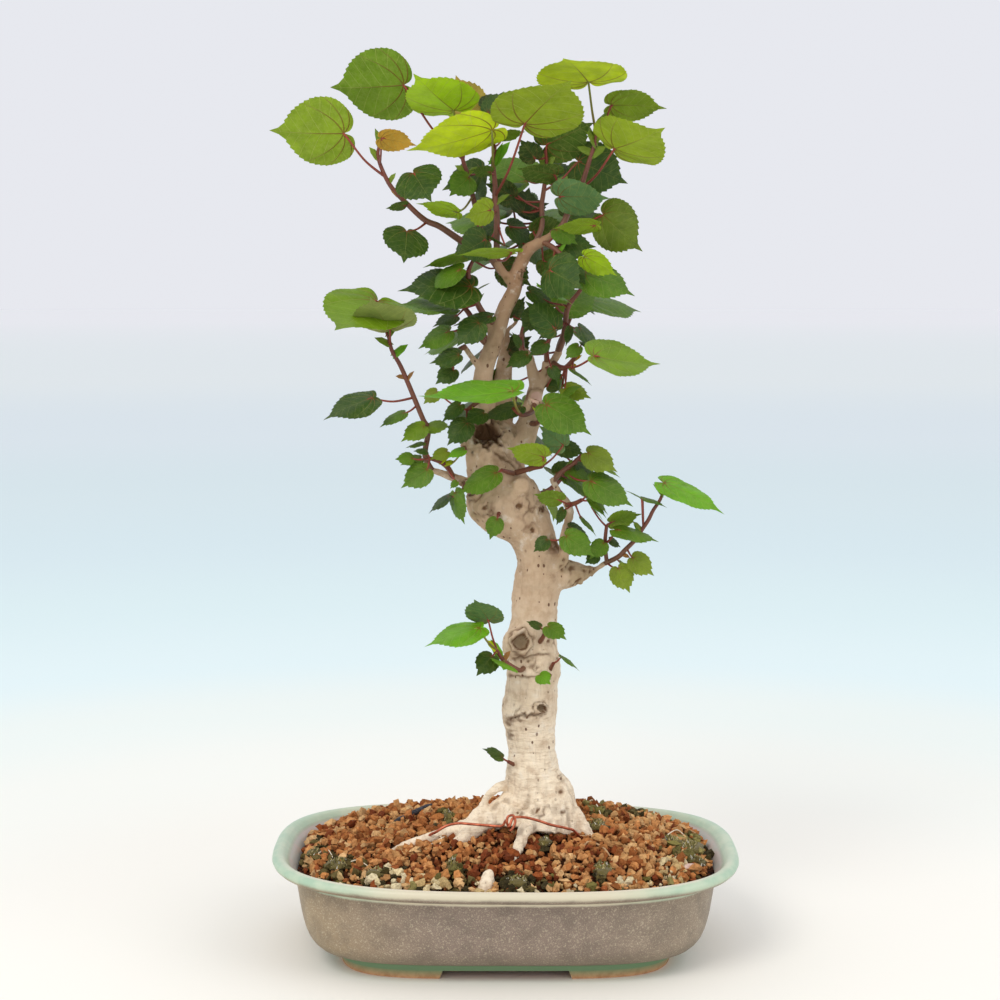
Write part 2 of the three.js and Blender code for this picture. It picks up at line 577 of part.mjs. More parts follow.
// A leaf on its stalk: a toothed heart-shaped blade, both faces split alike, and the thin stalk that
// comes from start and tapers into the blade's base
function leafOnStalk(start, stalkEnd, tip, roll, width) {
  const midrib = tip.clone().sub(stalkEnd);
  const length = midrib.length();
  midrib.normalize();
  const up = new THREE.Vector3(0, 0, 1).addScaledVector(midrib, -midrib.z).normalize();
  const away = midrib.clone().cross(up);
  if (away.y < 0) {
    away.negate();
  }
  const turn = THREE.MathUtils.degToRad(roll);
  const normal = up.multiplyScalar(Math.cos(turn)).addScaledVector(away, Math.sin(turn));
  const across = normal.clone().cross(midrib);
  const outline = leafOutline(length).map(([forward, sideways]) => {
    const sag = bladeDroop * forward * Math.abs(forward) + bladeFold * Math.abs(sideways * width);
    return stalkEnd.clone()
      .addScaledVector(midrib, forward * length)
      .addScaledVector(across, sideways * width * length)
      .addScaledVector(normal, -sag * length);
  });
  const blade = bladeSolid(stalkEnd, outline, normal);
  const reach = start.distanceTo(stalkEnd);
  if (reach === 0) {
    return blade;
  }
  const bend = start.clone().lerp(stalkEnd, 0.5);
  bend.z -= stalkDroop * reach;
  const inside = stalkEnd.clone().addScaledVector(midrib, stalkRoot).addScaledVector(normal, -stalkSink);
  const stalk = [[start, petioleRadius], [inside, stalkTip]];
  if (reach > longStalk) {
    stalk.splice(1, 0, [bend, petioleRadius]);
  }
  return blade.add(limb(stalk, stemSides));
}

function bladeSolid(stalkEnd, outline, normal) {
  const faces = [bladeThickness / 2, -bladeThickness / 2].map((offset) =>
    [stalkEnd, ...outline].map((point) => point.clone().addScaledVector(normal, offset)));
  const count = outline.length;
  const below = count + 1;
  const index = [];
  for (let i = 1; i < count; i++) {
    index.push(0, i, i + 1, below, below + i + 1, below + i);
    index.push(i, below + i, below + i + 1, i, below + i + 1, i + 1);
  }
  index.push(0, below, below + 1, 0, below + 1, 1);
  index.push(count, below + count, below, count, below, 0);
  return solidOf(faces.flat().flatMap((p) => [p.x, p.y, p.z]), index);
}

// Outline of a blade of length 1 from one side of the notch round the tip to the other
function leafOutline(length) {
  let steps = smallSteps;
  if (length > mediumLeaf) {
    steps = mediumSteps;
  }
  if (length > largeLeaf) {
    steps = largeSteps;
  }
  const outline = [];
  for (let i = -steps; i <= steps; i++) {
    const angle = THREE.MathUtils.degToRad(notchAngle * (i / steps));
    const place = (Math.abs(i) / steps) * (leafRadii.length - 1);
    const low = Math.min(Math.floor(place), leafRadii.length - 2);
    const smooth = leafRadii[low] + (leafRadii[low + 1] - leafRadii[low]) * (place - low);
    const tooth = Math.abs(i) % 2 === 0 ? -toothDepth : toothDepth;
    const radius = i === 0 ? smooth : smooth * (1 + tooth);
    outline.push([radius * Math.cos(angle), radius * Math.sin(angle)]);
  }
  return outline;
}

// The place on a shoot's stems that lies nearest to a point
function nearestOnStems(stems, point) {
  let best = null;
  const segment = new THREE.Line3();
  for (const rows of stems) {
    const centres = rows.map(([across, up, depth]) => seen(across, up, depth));
    for (let i = 0; i < centres.length - 1; i++) {
      segment.set(centres[i], centres[i + 1]);
      const place = segment.closestPointToPoint(point, true, new THREE.Vector3());
      if (best === null || place.distanceTo(point) < best.distanceTo(point)) {
        best = place;
      }
    }
  }
  return best;
}

function leafSolid(leaf, stems) {
  const [across, up, depth, tipAcross, tipUp, tipDepth, roll, width, foot] = leaf;
  const stalkEnd = seen(across, up, depth);
  const tip = seen(across + tipAcross, up + tipUp, depth + tipDepth);
  let start = foot ? seen(...foot) : stalkEnd;
  if (stems.length > 0) {
    start = nearestOnStems(stems, start);
  }
  return leafOnStalk(start, stalkEnd, tip, roll, width);
}

function shootSolid(name, { stems, leaves }, keepClear) {
  const pieces = stems.map((rows) => drawnLimb(rows, stemSides));
  for (const leaf of leaves) {
    pieces.push(leafSolid(leaf, stems));
  }
  return oneBody(joined(pieces).subtract(keepClear), name);
}

// The pot's outline is rounder at the rim than at the feet
function squareness(height) {
  return rimSquareness + (footSquareness - rimSquareness) * (1 - height / potHeight);
}

// A ring of the pot's outline, drawn in by inset at a height
function potRing(inset, height, sides = potSides) {
  const ring = [];
  const halfLength = potLength / 2 - inset;
  const halfDepth = potDepth / 2 - frontSteepness * inset;
  const power = 2 / squareness(height);
  const aboveFeet = Math.max(0, (height - footHeight) / (potHeight - footHeight));
  for (let s = 0; s < sides; s++) {
    const angle = (2 * Math.PI * (s + 0.5)) / sides;
    const x = halfLength * Math.sign(Math.cos(angle)) * Math.abs(Math.cos(angle)) ** power;
    const y = halfDepth * Math.sign(Math.sin(angle)) * Math.abs(Math.sin(angle)) ** power;
    const rise = endRise * (x / (potLength / 2)) ** 2 - rimDrop * x;
    ring.push(new THREE.Vector3(x, y, height + rise * aboveFeet));
  }
  return ring;
}

// The inside of the pot: inset and height from the floor to the rim
const potInside = [[34, floorTop], [26, 22], [19, 44], [14.5, 53], [8, 57.5]];

function pot() {
  const outside = [
    [55, 8], [53.5, footHeight], [39.5, footHeight], [38, 9.4], [26.5, 12], [21, 20], [17, 30], [13.5, 50],
    [3, 53.8], [0, 57], [2.2, 59.4], [6.8, 59.1],
  ];
  const inside = [...potInside].reverse();
  const profile = [[88, 8], ...outside, ...inside, [88, floorTop]];
  const body = loft(profile.map(([inset, height]) => potRing(inset, height)));
  return body.add(feet()).subtract(drainHole(-1)).subtract(drainHole(1));
}

// Four feet: the foot ring between the gaps at the middle of the sides and of the ends
function feet() {
  const outer = loft([potRing(footOutside, 0), potRing(footOutside - 1.5, footHeight + 0.6)]);
  const inner = loft([potRing(footInside, -1), potRing(footInside, footHeight + 2)]);
  const across = boxSolid(2 * footGapFront, potDepth, 3 * footHeight, 0, 0, 0);
  const along = boxSolid(potLength, 2 * footGapEnd, 3 * footHeight, 0, 0, 0);
  return outer.subtract(inner).subtract(across).subtract(along);
}

function boxSolid(width, depth, height, x, y, z) {
  return toSolid(new THREE.BoxGeometry(width, depth, height).translate(x, y, z));
}

function drainHole(side) {
  const hole = new THREE.CylinderGeometry(drainHoleRadius, drainHoleRadius, 3 * floorTop, 20);
  return toSolid(hole.rotateX(Math.PI / 2).translate(side * drainHoleAcross, drainHoleDepth, 0));
}

// Height of the soil's mound, with the granules as a relief
function soilHeight(x, y) {
  const power = squareness(soilEdge);
  const along = (Math.abs(x) / (potLength / 2 - soilInset)) ** power;
  const across = (Math.abs(y) / (potDepth / 2 - frontSteepness * soilInset)) ** power;
  const out = Math.min((along + across) ** (1 / power), 1);
  const heaped = moundFront + (moundBack - moundFront) * THREE.MathUtils.smoothstep(y, -20, 30);
  const mound = soilEdge + (soilTop - soilEdge) * (1 - out ** heaped);
  return mound + granuleRelief * Math.sin(0.9 * x + 0.4 * y) * Math.sin(0.8 * y - 0.3 * x);
}

function soil(holes) {
  const under = [[84, floorTop], ...potInside.slice(0, 3)].map(([inset, height]) =>
    potRing(inset + fitGap + 0.2, height === floorTop ? floorTop + soilRest : height));
  const top = potRing(soilInset, soilEdge);
  const cover = [];
  for (let r = 0; r < soilRings; r++) {
    const share = 1 - (r / soilRings) ** 1.1;
    cover.push(top.map(({ x, y }) =>
      new THREE.Vector3(x * share, y * share, soilHeight(x * share, y * share))));
  }
  return oneBody(loft([...under, ...cover]).subtract(holes), 'soil');
}

// The copper tie wire: from one drain hole up over the roots, hooked in front, and down to the other
const wireRoute = [
  [-52, 4, 6.4], [-60, 4, 6.3], [-64, 4, 9], [-64, 4, 20], [-56, -8, 45],
];
const wireFront = [
  [-44, 84.5, -22], [-38, 89, -30], [-32, 92.5, -31], [-25, 94, -31], [-17, 93.5, -33], [-8, 92.8, -36],
  [1, 92.4, -39], [3.4, 95.6, -39.6], [5.4, 92, -44], [7.4, 96.6, -42.6], [10.4, 97.8, -41], [16, 97.4, -40],
  [23, 95.6, -38], [31, 93, -35], [40, 91, -29], [46, 88, -24],
];
const wireDown = [[56, -14, 52], [64, 0, 34], [64, 4, 20], [64, 4, 9], [60, 4, 6.3], [52, 4, 6.4]];

function tieWire(grow = 0) {
  const places = [
    ...wireRoute.map((p) => new THREE.Vector3(...p)),
    ...wireFront.map((p) => seen(...p)),
    ...wireDown.map((p) => new THREE.Vector3(...p)),
  ];
  const curve = new THREE.CatmullRomCurve3(places, false, 'centripetal');
  const points = curve.getPoints(wireSteps).map((centre) => [centre, wireRadius]);
  return limb(points, wireSides, grow);
}

// The mesh over a drain hole: a square lattice of flat bars
const meshSize = 28;
const meshBars = 3;
const meshBarWidth = 1.6;
const meshThickness = 1;

function drainMesh(side, grow = 0) {
  const height = floorTop + fitGap + meshThickness / 2;
  const x = side * drainHoleAcross;
  if (grow > 0) {
    const room = meshSize + 2 * grow;
    return boxSolid(room, room, meshThickness + 4 * grow, x, drainHoleDepth, height);
  }
  const pieces = [];
  for (let i = 0; i < meshBars; i++) {
    const offset = (i / (meshBars - 1) - 0.5) * (meshSize - meshBarWidth);
    pieces.push(boxSolid(meshBarWidth, meshSize, meshThickness, x + offset, drainHoleDepth, height));
    pieces.push(boxSolid(meshSize, meshBarWidth, meshThickness, x, drainHoleDepth + offset, height));
  }
  return joined(pieces);
}

// A charred stick that lies on the soil
function charcoal(grow = 0) {
  const rows = [[-63, 94.5, 10, 1.4], [-56, 98, 17, 1.9], [-48, 101.5, 25, 1.9], [-41, 104.5, 35, 1.5]];
  return drawnLimb(rows, branchSides, grow);
}

const colours = {
  pot: [0x7d766c, 0.45, 0],
  soil: [0x9a5c33, 0.95, 0],
  trunk: [0xd9c4a3, 0.85, 0],
  tie_wire: [0xb9694f, 0.35, 1],
  drain_mesh: [0x2b3a2c, 0.6, 0],
  charcoal: [0x26242a, 0.9, 0],
  leaf_orange: [0xc8963a, 0.5, 0],
  leaf_bronze: [0xaa8c32, 0.5, 0],
  shoot: [0x4f7a26, 0.5, 0],
};

const group = new THREE.Group();

function addPiece(name, solid, [color, roughness, metalness]) {
  const material = new THREE.MeshStandardMaterial({ color, roughness, metalness });
  const mesh = new THREE.Mesh(toGeometry(solid), material);
  mesh.name = name;
  group.add(mesh);
}

const trunk = wood();
const trunkRoom = wood(fitGap);
const wire = tieWire();
const wireRoom = tieWire(fitGap);
const meshRoom = joined([drainMesh(-1, fitGap), drainMesh(1, fitGap)]);
const soilHoles = joined([trunkRoom, wireRoom, meshRoom, charcoal(fitGap)]);

addPiece('pot', pot(), colours.pot);
addPiece('soil', soil(soilHoles), colours.soil);
addPiece('trunk', oneBody(trunk.subtract(wireRoom), 'trunk'), colours.trunk);
addPiece('tie_wire', wire, colours.tie_wire);
addPiece('drain_mesh_left', drainMesh(-1).subtract(wireRoom), colours.drain_mesh);
addPiece('drain_mesh_right', drainMesh(1).subtract(wireRoom), colours.drain_mesh);
addPiece('charcoal', charcoal(), colours.charcoal);
for (const [name, shoot] of Object.entries(shoots)) {
  addPiece(name, shootSolid(name, shoot, trunkRoom), colours[name] ?? colours.shoot);
}

export default group;
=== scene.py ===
import math
import random

import bmesh
import bpy
from mathutils import Matrix, Vector, noise
from mathutils.bvhtree import BVHTree


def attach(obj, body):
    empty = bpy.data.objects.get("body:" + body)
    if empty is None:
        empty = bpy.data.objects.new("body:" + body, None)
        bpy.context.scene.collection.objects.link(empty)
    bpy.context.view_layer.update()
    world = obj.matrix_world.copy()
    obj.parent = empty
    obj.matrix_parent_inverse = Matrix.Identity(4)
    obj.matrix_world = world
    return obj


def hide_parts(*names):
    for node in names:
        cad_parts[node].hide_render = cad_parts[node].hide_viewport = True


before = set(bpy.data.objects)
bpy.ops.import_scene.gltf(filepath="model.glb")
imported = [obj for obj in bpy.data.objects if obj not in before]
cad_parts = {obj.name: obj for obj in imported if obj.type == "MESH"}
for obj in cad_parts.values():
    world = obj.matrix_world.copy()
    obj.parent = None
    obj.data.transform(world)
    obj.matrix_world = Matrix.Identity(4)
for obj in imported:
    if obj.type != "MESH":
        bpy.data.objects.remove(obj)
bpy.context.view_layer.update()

# A sea hibiscus bonsai in its glazed oval pot. Places are drawn in millimetres, +Z up, front towards -Y,
# and each finished piece is scaled to metres.
mm = 0.001
fullTurn = 6.28
dice = random.Random(7)

# The front view: places on the tree are drawn on an upright sheet in front of this eye
frontView = {
    "eye": (-3.3, -1177.7, 391.9),
    "sheetDistance": 1200,
    "plantingFront": 6,
    "sheetMiddle": 288,
    "lookDown": 6,
    "lens": 72,
    "sensor": 36,
    "clip": (0.05, 100),
}
eye = Vector(frontView["eye"])
downTilt = math.radians(frontView["lookDown"])


def seen(across, up, depth):
    # a place on the sheet, and how far behind the planting's plane it lies, as a point in space
    drop = (frontView["sheetMiddle"] - up) / frontView["sheetDistance"]
    ray = Vector((across / frontView["sheetDistance"],
                  math.cos(downTilt) - math.sin(downTilt) * drop,
                  -math.sin(downTilt) - math.cos(downTilt) * drop))
    return eye + ray * ((depth - frontView["plantingFront"] - eye.y) / ray.y)


def sheetOf(point):
    # where a point shows on the sheet
    away = point - eye
    ahead = away.y * math.cos(downTilt) - away.z * math.sin(downTilt)
    rise = away.y * math.sin(downTilt) + away.z * math.cos(downTilt)
    scale = frontView["sheetDistance"] / ahead
    return away.x * scale, frontView["sheetMiddle"] + rise * scale


def shade(red, green, blue, gain=1.0):
    # a colour as the eye reads it, out of 255, as light
    return tuple(min(1.0, gain * (c / 255) ** 2.2) for c in (red, green, blue)) + (1.0,)


def smoothStep(low, high, value):
    share = min(max((value - low) / (high - low), 0), 1)
    return share * share * (3 - 2 * share)


def bell(value, middle, width):
    # 1 at the middle, fading to both sides
    return math.exp(-((value - middle) / width) ** 2)


# Shape helpers
def smoothPath(rows, step):
    # rows of place and radius, rounded through every row
    path = []
    for i in range(len(rows) - 1):
        a, b = rows[max(i - 1, 0)][0], rows[i][0]
        c, d = rows[i + 1][0], rows[min(i + 2, len(rows) - 1)][0]
        count = max(1, round((c - b).length / step))
        for k in range(count):
            t = k / count
            place = 0.5 * (2 * b + (c - a) * t + (2 * a - 5 * b + 4 * c - d) * t ** 2
                           + (3 * b - a - 3 * c + d) * t ** 3)
            path.append((place, rows[i][1] + (rows[i + 1][1] - rows[i][1]) * t))
    path.append(rows[-1])
    return path


def drawnPath(rows, step):
    return smoothPath([(seen(*row[:3]), row[3]) for row in rows], step)


def linked(name, data):
    holder = bpy.data.objects.new(name, data)
    bpy.context.scene.collection.objects.link(holder)
    return holder


def meshFrom(bm, name):
    mesh = bpy.data.meshes.new(name)
    bm.to_mesh(mesh)
    bm.free()
    return mesh


def takeIn(bm, other):
    # moves what another bmesh holds into this one
    mesh = meshFrom(other, "working")
    bm.from_mesh(mesh)
    bpy.data.meshes.remove(mesh)


def facesOf(verts):
    return {face for vert in verts for face in vert.link_faces}


def paint(faces, layer, light):
    for face in faces:
        for loop in face.loops:
            loop[layer] = light


def mappedGrid(bm, across, along, place):
    # a grid whose corners are moved to place(i, j), and the numbers i, j of each corner
    verts = bmesh.ops.create_grid(bm, x_segments=across, y_segments=along, size=1)["verts"]
    numbers = {}
    for vert in verts:
        i = round((vert.co.x + 1) / 2 * across)
        j = round((vert.co.y + 1) / 2 * along)
        numbers[vert] = (i, j)
        vert.co = place(i, j)
    return verts, numbers


def closedSkin(bm, rows, sides, place):
    # a skin of rings, merged where they meet and filled flat at its ends
    verts = mappedGrid(bm, rows, sides, place)[0]
    bmesh.ops.remove_doubles(bm, verts=verts, dist=0.0005)
    bmesh.ops.holes_fill(bm, edges=bm.edges, sides=0)
    bmesh.ops.recalc_face_normals(bm, faces=bm.faces)


def addTube(bm, path, sides, tints=None, tintLayer=None, material=0):
    # a round rod along a path, closed to a point at both ends
    rows = [(path[0][0], 0), *path, (path[-1][0], 0)]
    rings = []
    side = Vector((1, 0, 0))
    for i, (centre, radius) in enumerate(rows):
        along = rows[min(i + 2, len(rows) - 1)][0] - rows[max(i - 2, 0)][0]
        along.normalize()
        side = side - along * side.dot(along)
        if side.length < 0.1:
            side = along.orthogonal()
        side.normalize()
        rings.append((centre, radius, side.copy(), along.cross(side)))

    def place(i, j):
        centre, radius, first, second = rings[i]
        angle = 2 * math.pi * j / sides
        return centre + (first * math.cos(angle) + second * math.sin(angle)) * radius

    verts, numbers = mappedGrid(bm, len(rows) - 1, sides, place)
    faces = facesOf(verts)
    for face in faces:
        face.material_index = material
        if tintLayer is not None:
            for loop in face.loops:
                share = numbers[loop.vert][0] / (len(rows) - 1)
                loop[tintLayer] = [a + (b - a) * share for a, b in zip(*tints)]
    bmesh.ops.remove_doubles(bm, verts=verts, dist=0.001)
    bmesh.ops.recalc_face_normals(bm, faces=[face for face in faces if face.is_valid])


def finishPiece(name, bm, materials, nodes=(), sharpFrom=None):
    bmesh.ops.scale(bm, vec=(mm, mm, mm), verts=bm.verts)
    mesh = meshFrom(bm, name)
    for material in materials:
        mesh.materials.append(material)
    mesh.shade_smooth()
    if sharpFrom is not None:
        mesh.set_sharp_from_angle(angle=math.radians(sharpFrom))
    piece = linked(name, mesh)
    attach(piece, "root")
    if nodes:
        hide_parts(*nodes)
    return piece


def applied(bm, setModifiers):
    # the mesh of bm after modifiers, as a new bmesh
    mesh = meshFrom(bm, "working")
    holder = linked("working", mesh)
    setModifiers(holder)
    bpy.context.view_layer.update()
    done = bpy.data.meshes.new_from_object(holder.evaluated_get(bpy.context.evaluated_depsgraph_get()))
    bpy.data.objects.remove(holder)
    bpy.data.meshes.remove(mesh)
    fresh = bmesh.new()
    fresh.from_mesh(done)
    bpy.data.meshes.remove(done)
    return fresh


# Finish helpers: each adds to the finish that newMaterial started last. A colour is a socket, or three
# values out of 255.
current = {}


def newMaterial(name):
    material = bpy.data.materials.new(name)
    material.use_nodes = True
    current["tree"] = material.node_tree
    current["tree"].nodes.clear()
    return material


def node(kind, inputs=None, **settings):
    made = current["tree"].nodes.new(kind)
    for key, value in settings.items():
        setattr(made, key, value)
    for key, value in (inputs or {}).items():
        socket = made.inputs[key]
        if isinstance(value, bpy.types.NodeSocket):
            current["tree"].links.new(value, socket)
        elif socket.type == "RGBA":
            socket.default_value = shade(*value)
        else:
            socket.default_value = value
    return made


def calc(operation, *values):
    return node("ShaderNodeMath", dict(enumerate(values)), operation=operation).outputs[0]


def times(first, second):
    return calc("MULTIPLY", first, second)


def plus(first, second):
    return calc("ADD", first, second)


def minus(first, second):
    return calc("SUBTRACT", first, second)


def ramp(value, low, high, lowTo=0.0, highTo=1.0):
    limits = {"Value": value, "From Min": low, "From Max": high, "To Min": lowTo, "To Max": highTo}
    return node("ShaderNodeMapRange", limits, interpolation_type="SMOOTHSTEP").outputs["Result"]


def blend(share, first, second, mode="MIX"):
    layers = {0: share, 6: first, 7: second}
    return node("ShaderNodeMix", layers, data_type="RGBA", blend_type=mode).outputs[2]


def coats(colour, *rows):
    # coats over a colour: the pattern of each, where it starts and where it is full, its strength, its colour
    for pattern, low, high, share, tone, *mode in rows:
        colour = blend(ramp(pattern, low, high, 0, share), colour, tone, *mode)
    return colour


def stretched(place, stretch):
    return node("ShaderNodeMapping", {"Vector": place, "Scale": stretch}).outputs["Vector"]


def grain(place, scale, detail=3.0):
    # soft noise, scale in lumps a metre
    made = node("ShaderNodeTexNoise", {"Vector": place, "Scale": scale, "Detail": detail, "Roughness": 0.6})
    return made.outputs["Fac"]


def cells(place, scale, feature="F1"):
    # cells round scattered points: how far the nearest point or edge is, and a chance colour for each cell
    return node("ShaderNodeTexVoronoi", {"Vector": place, "Scale": scale}, feature=feature).outputs


def bump(height, distance, strength=1.0):
    made = node("ShaderNodeBump", {"Height": height, "Distance": distance, "Strength": strength})
    return made.outputs["Normal"]


def coated(colour, dull, normal=None, gloss=0.5, **more):
    inputs = {"Base Color": colour, "Roughness": dull, "Specular IOR Level": gloss, **more}
    if normal is not None:
        inputs["Normal"] = normal
    return node("ShaderNodeBsdfPrincipled", inputs).outputs["BSDF"]


def surface(shader):
    node("ShaderNodeOutputMaterial", {"Surface": shader})


def objectPlace():
    return node("ShaderNodeTexCoord").outputs["Object"]


def axes(place):
    return node("ShaderNodeSeparateXYZ", {"Vector": place}).outputs[:]


def channels(colour):
    return node("ShaderNodeSeparateColor", {"Color": colour}).outputs[:3]


def ownColour(name):
    # a colour drawn on the piece, and its fourth channel
    made = node("ShaderNodeAttribute", attribute_name=name)
    return made.outputs["Color"], made.outputs["Alpha"]


def plainFinish(name, noises, base, rows, dull, relief, gloss=0.5, **more):
    # a finish of one or two noises; base is a colour, or None where each face has its own
    material = newMaterial(name)
    place = objectPlace()
    made = [grain(place, *row) if row[1:] else cells(place, *row)["Distance"] for row in noises]
    colour = base or ownColour("tint")[0]
    colour = coats(colour, *[(made[number], *rest) for number, *rest in rows])
    shares, distance, strength = relief
    height = times(made[0], shares[0])
    for noiseHere, share in zip(made[1:], shares[1:]):
        height = plus(height, times(noiseHere, share))
    surface(coated(colour, dull, bump(height, distance, strength), gloss, **more))
    return material


# Camera, floor and light
def makeCamera():
    camera = bpy.data.cameras.new("camera")
    camera.lens = frontView["lens"]
    camera.sensor_width = frontView["sensor"]
    camera.clip_start, camera.clip_end = frontView["clip"]
    holder = linked("camera", camera)
    holder.location = eye * mm
    holder.rotation_euler = (math.radians(90) - downTilt, 0, 0)
    bpy.context.scene.camera = holder


studio = {
    "floorRadius": 40,
    # colours of the floor outwards from the pot, and where each is reached
    "rings": [
        [0.28, (247, 244, 235)], [0.5, (246, 247, 239)], [0.7, (240, 247, 241)], [0.95, (231, 247, 247)],
        [1.35, (228, 246, 246)], [1.9, (227, 244, 246)], [2.8, (230, 245, 246)], [4.4, (237, 247, 249)],
        [8, (246, 252, 250)], [26, (255, 255, 255)],
    ],
    "floorDull": 0.8,
    "floorGloss": 0.2,
    "world": (0.80, 0.812, 0.862),
    "worldStrength": 1.0,
    "lamps": [
        # place, aim, size, watts, colour
        [(-1.0, -1.5, 1.9), (0, 0, 0.3), 1.3, 22, (1, 0.965, 0.9)],
        [(1.5, -0.9, 1.5), (0, 0, 0.3), 1.6, 9, (1, 0.98, 0.94)],
    ],
}


def makeStudio():
    bm = bmesh.new()
    bmesh.ops.create_circle(bm, cap_ends=True, radius=studio["floorRadius"], segments=96)
    floor = linked("floor", meshFrom(bm, "floor"))
    floor.data.materials.append(newMaterial("pale floor"))
    x, y = axes(objectPlace())[:2]
    out = calc("SQRT", plus(times(x, x), times(y, y)))
    inside, colour = studio["rings"][0]
    for reach, tone in studio["rings"][1:]:
        colour = coats(colour, (out, inside, reach, 1, tone))
        inside = reach
    surface(coated(colour, studio["floorDull"], gloss=studio["floorGloss"]))

    world = bpy.data.worlds.new("studio")
    world.use_nodes = True
    back = world.node_tree.nodes["Background"]
    back.inputs["Color"].default_value = (*studio["world"], 1)
    back.inputs["Strength"].default_value = studio["worldStrength"]
    bpy.context.scene.world = world
    bpy.context.scene.view_settings.view_transform = "Standard"

    for number, (place, aim, size, watts, colour) in enumerate(studio["lamps"]):
        lamp = bpy.data.lights.new(f"softbox{number}", "AREA")
        lamp.shape = "DISK"
        lamp.size = size
        lamp.energy = watts
        lamp.color = colour
        holder = linked(lamp.name, lamp)
        holder.location = place
        holder.rotation_euler = (Vector(aim) - Vector(place)).to_track_quat("-Z", "Y").to_euler()
    print("studio ready")


makeCamera()
makeStudio()

# The glazed pot
potShape = {
    "length": 278,
    "depth": 201,
    "height": 60,
    "footHeight": 5,
    "rimSquareness": 2.9,
    "footSquareness": 4.3,
    "frontSteepness": 0.75,
    "rimDrop": 0.0065,
    "endRise": 1.6,
    "sides": 144,
    "footOutside": 41.5,
    "footInside": 52,
    "footOverlap": 0.6,
    "footGapHeight": 14,
    "footGaps": [
        # length, depth, and slant of the feet's inner ends outwards to the floor
        ["frontGap", 70.4, 240, 1.16],
        ["endGap", 320, 28, 1],
    ],
    "holeRadius": 9,
    "holeAcross": 60,
    "holeMiddle": 8,
    "holeLength": 30,
    "sharpFrom": 42,
    # how far in from the rim, and how high, round the wall from the middle of the underside
    "profile": [
        [104, 8.2], [90, 8.2], [75, 8.2], [62, 8.2], [55, 8], [54, 5.3], [53.4, 5], [40.6, 5], [39.3, 5.4],
        [38.8, 6.4], [38.5, 8.4], [37.5, 9.3], [35, 9.6], [31.2, 10.4], [27.4, 12], [24.4, 14.6],
        [22.2, 17.6], [20.4, 21.4], [18.9, 26], [17.6, 31], [16.4, 37], [15.3, 42.5], [14, 47.6],
        [12.9, 50.2], [9.6, 51.4], [6, 52.2], [3.2, 53.3], [1.3, 54.8], [0.4, 56.4], [0.7, 57.9], [1.9, 59],
        [3.8, 59.5], [5.8, 59.2], [7.4, 58.3], [8.8, 56.7], [11, 54.8], [14.2, 52.4], [16.4, 49], [19, 44],
        [21.6, 36], [23.6, 29], [26, 22], [29.4, 17], [34, 14.1], [44, 14], [62, 14], [75, 14], [90, 14],
        [104, 14],
    ],
    # limits of the zones of the finish, as inset or height
    "innerWall": [10.5, 13.5],
    "bareFoot": 5.12,
    "bareUnderside": [52, 8.6],
    "lipRise": [51.5, 57.5],
    "lipTop": [2.6, 55],
    "insideTop": 50,
    # crestInset and crestRise bound the painted highlight on the crest of the lip
    "crestInset": [2.2, 4.6],
    "crestRise": [55.6, 57.4],
    "body": (145, 129, 111),
    "bodyBrown": (156, 136, 106),
    "bodyMauve": (136, 119, 107),
    "bodyLow": (104, 94, 74),
    "speckle": (196, 183, 158),
    "smallSpeckle": (218, 206, 178),
    "pits": (84, 76, 68),
    "celadon": (168, 194, 168),
    "celadonLight": (188, 204, 178),
    "celadonWarm": (212, 202, 176),
    "lipSpeckle": (206, 196, 176),
    # cream of the painted highlight along the crest of the lip
    "cream": (230, 216, 194),
    "inside": (188, 172, 162),
    "insideGrey": (178, 176, 166),
    "band": (112, 142, 106),
    "pooled": (66, 84, 54),
    "clay": (214, 166, 124),
    "clayBrown": (190, 138, 98),
    "under": (150, 98, 66),
    "spilt": (232, 228, 214),
}


def squareness(height):
    # the outline is rounder at the rim than at the feet
    spread = potShape["footSquareness"] - potShape["rimSquareness"]
    return potShape["rimSquareness"] + spread * (1 - height / potShape["height"])


def firingRise(x, height):
    # fired a little out of true, lower on the right and higher at the ends
    foot = potShape["footHeight"]
    aboveFeet = max(0, (height - foot) / (potShape["height"] - foot))
    rise = potShape["endRise"] * (2 * x / potShape["length"]) ** 2 - potShape["rimDrop"] * x
    return rise * aboveFeet


def potRing(inset, height, j, sides):
    # corner j of the outline so far in from the rim
    halfLength = potShape["length"] / 2 - inset
    halfDepth = potShape["depth"] / 2 - potShape["frontSteepness"] * inset
    power = 2 / squareness(height)
    angle = 2 * math.pi * (j % sides + 0.5) / sides
    x = halfLength * math.copysign(abs(math.cos(angle)) ** power, math.cos(angle))
    y = halfDepth * math.copysign(abs(math.sin(angle)) ** power, math.sin(angle))
    return Vector((x, y, height + firingRise(x, height)))


def insetAt(x, y, height):
    # how far in from the rim a place lies
    power = squareness(height)
    low, high = -4, 110
    for turn in range(18):
        inset = (low + high) / 2
        along = abs(x) / max(potShape["length"] / 2 - inset, 0.1)
        across = abs(y) / max(potShape["depth"] / 2 - potShape["frontSteepness"] * inset, 0.1)
        if along ** power + across ** power > 1:
            high = inset
        else:
            low = inset
    return low


def closedRings(rings):
    # a closed skin over rings of inset and height
    bm = bmesh.new()
    sides = potShape["sides"]
    closedSkin(bm, len(rings) - 1, sides, lambda i, j: potRing(*rings[i], j, sides))
    return bm


def footGap(name, long, deep, slant):
    # a block that opens the foot ring
    bm = bmesh.new()
    bmesh.ops.create_cube(bm, size=1, matrix=Matrix.Diagonal((long, deep, potShape["footGapHeight"], 1)))
    for vert in bm.verts:
        if vert.co.z < 0:
            vert.co.x *= slant
    return linked(name, meshFrom(bm, name))


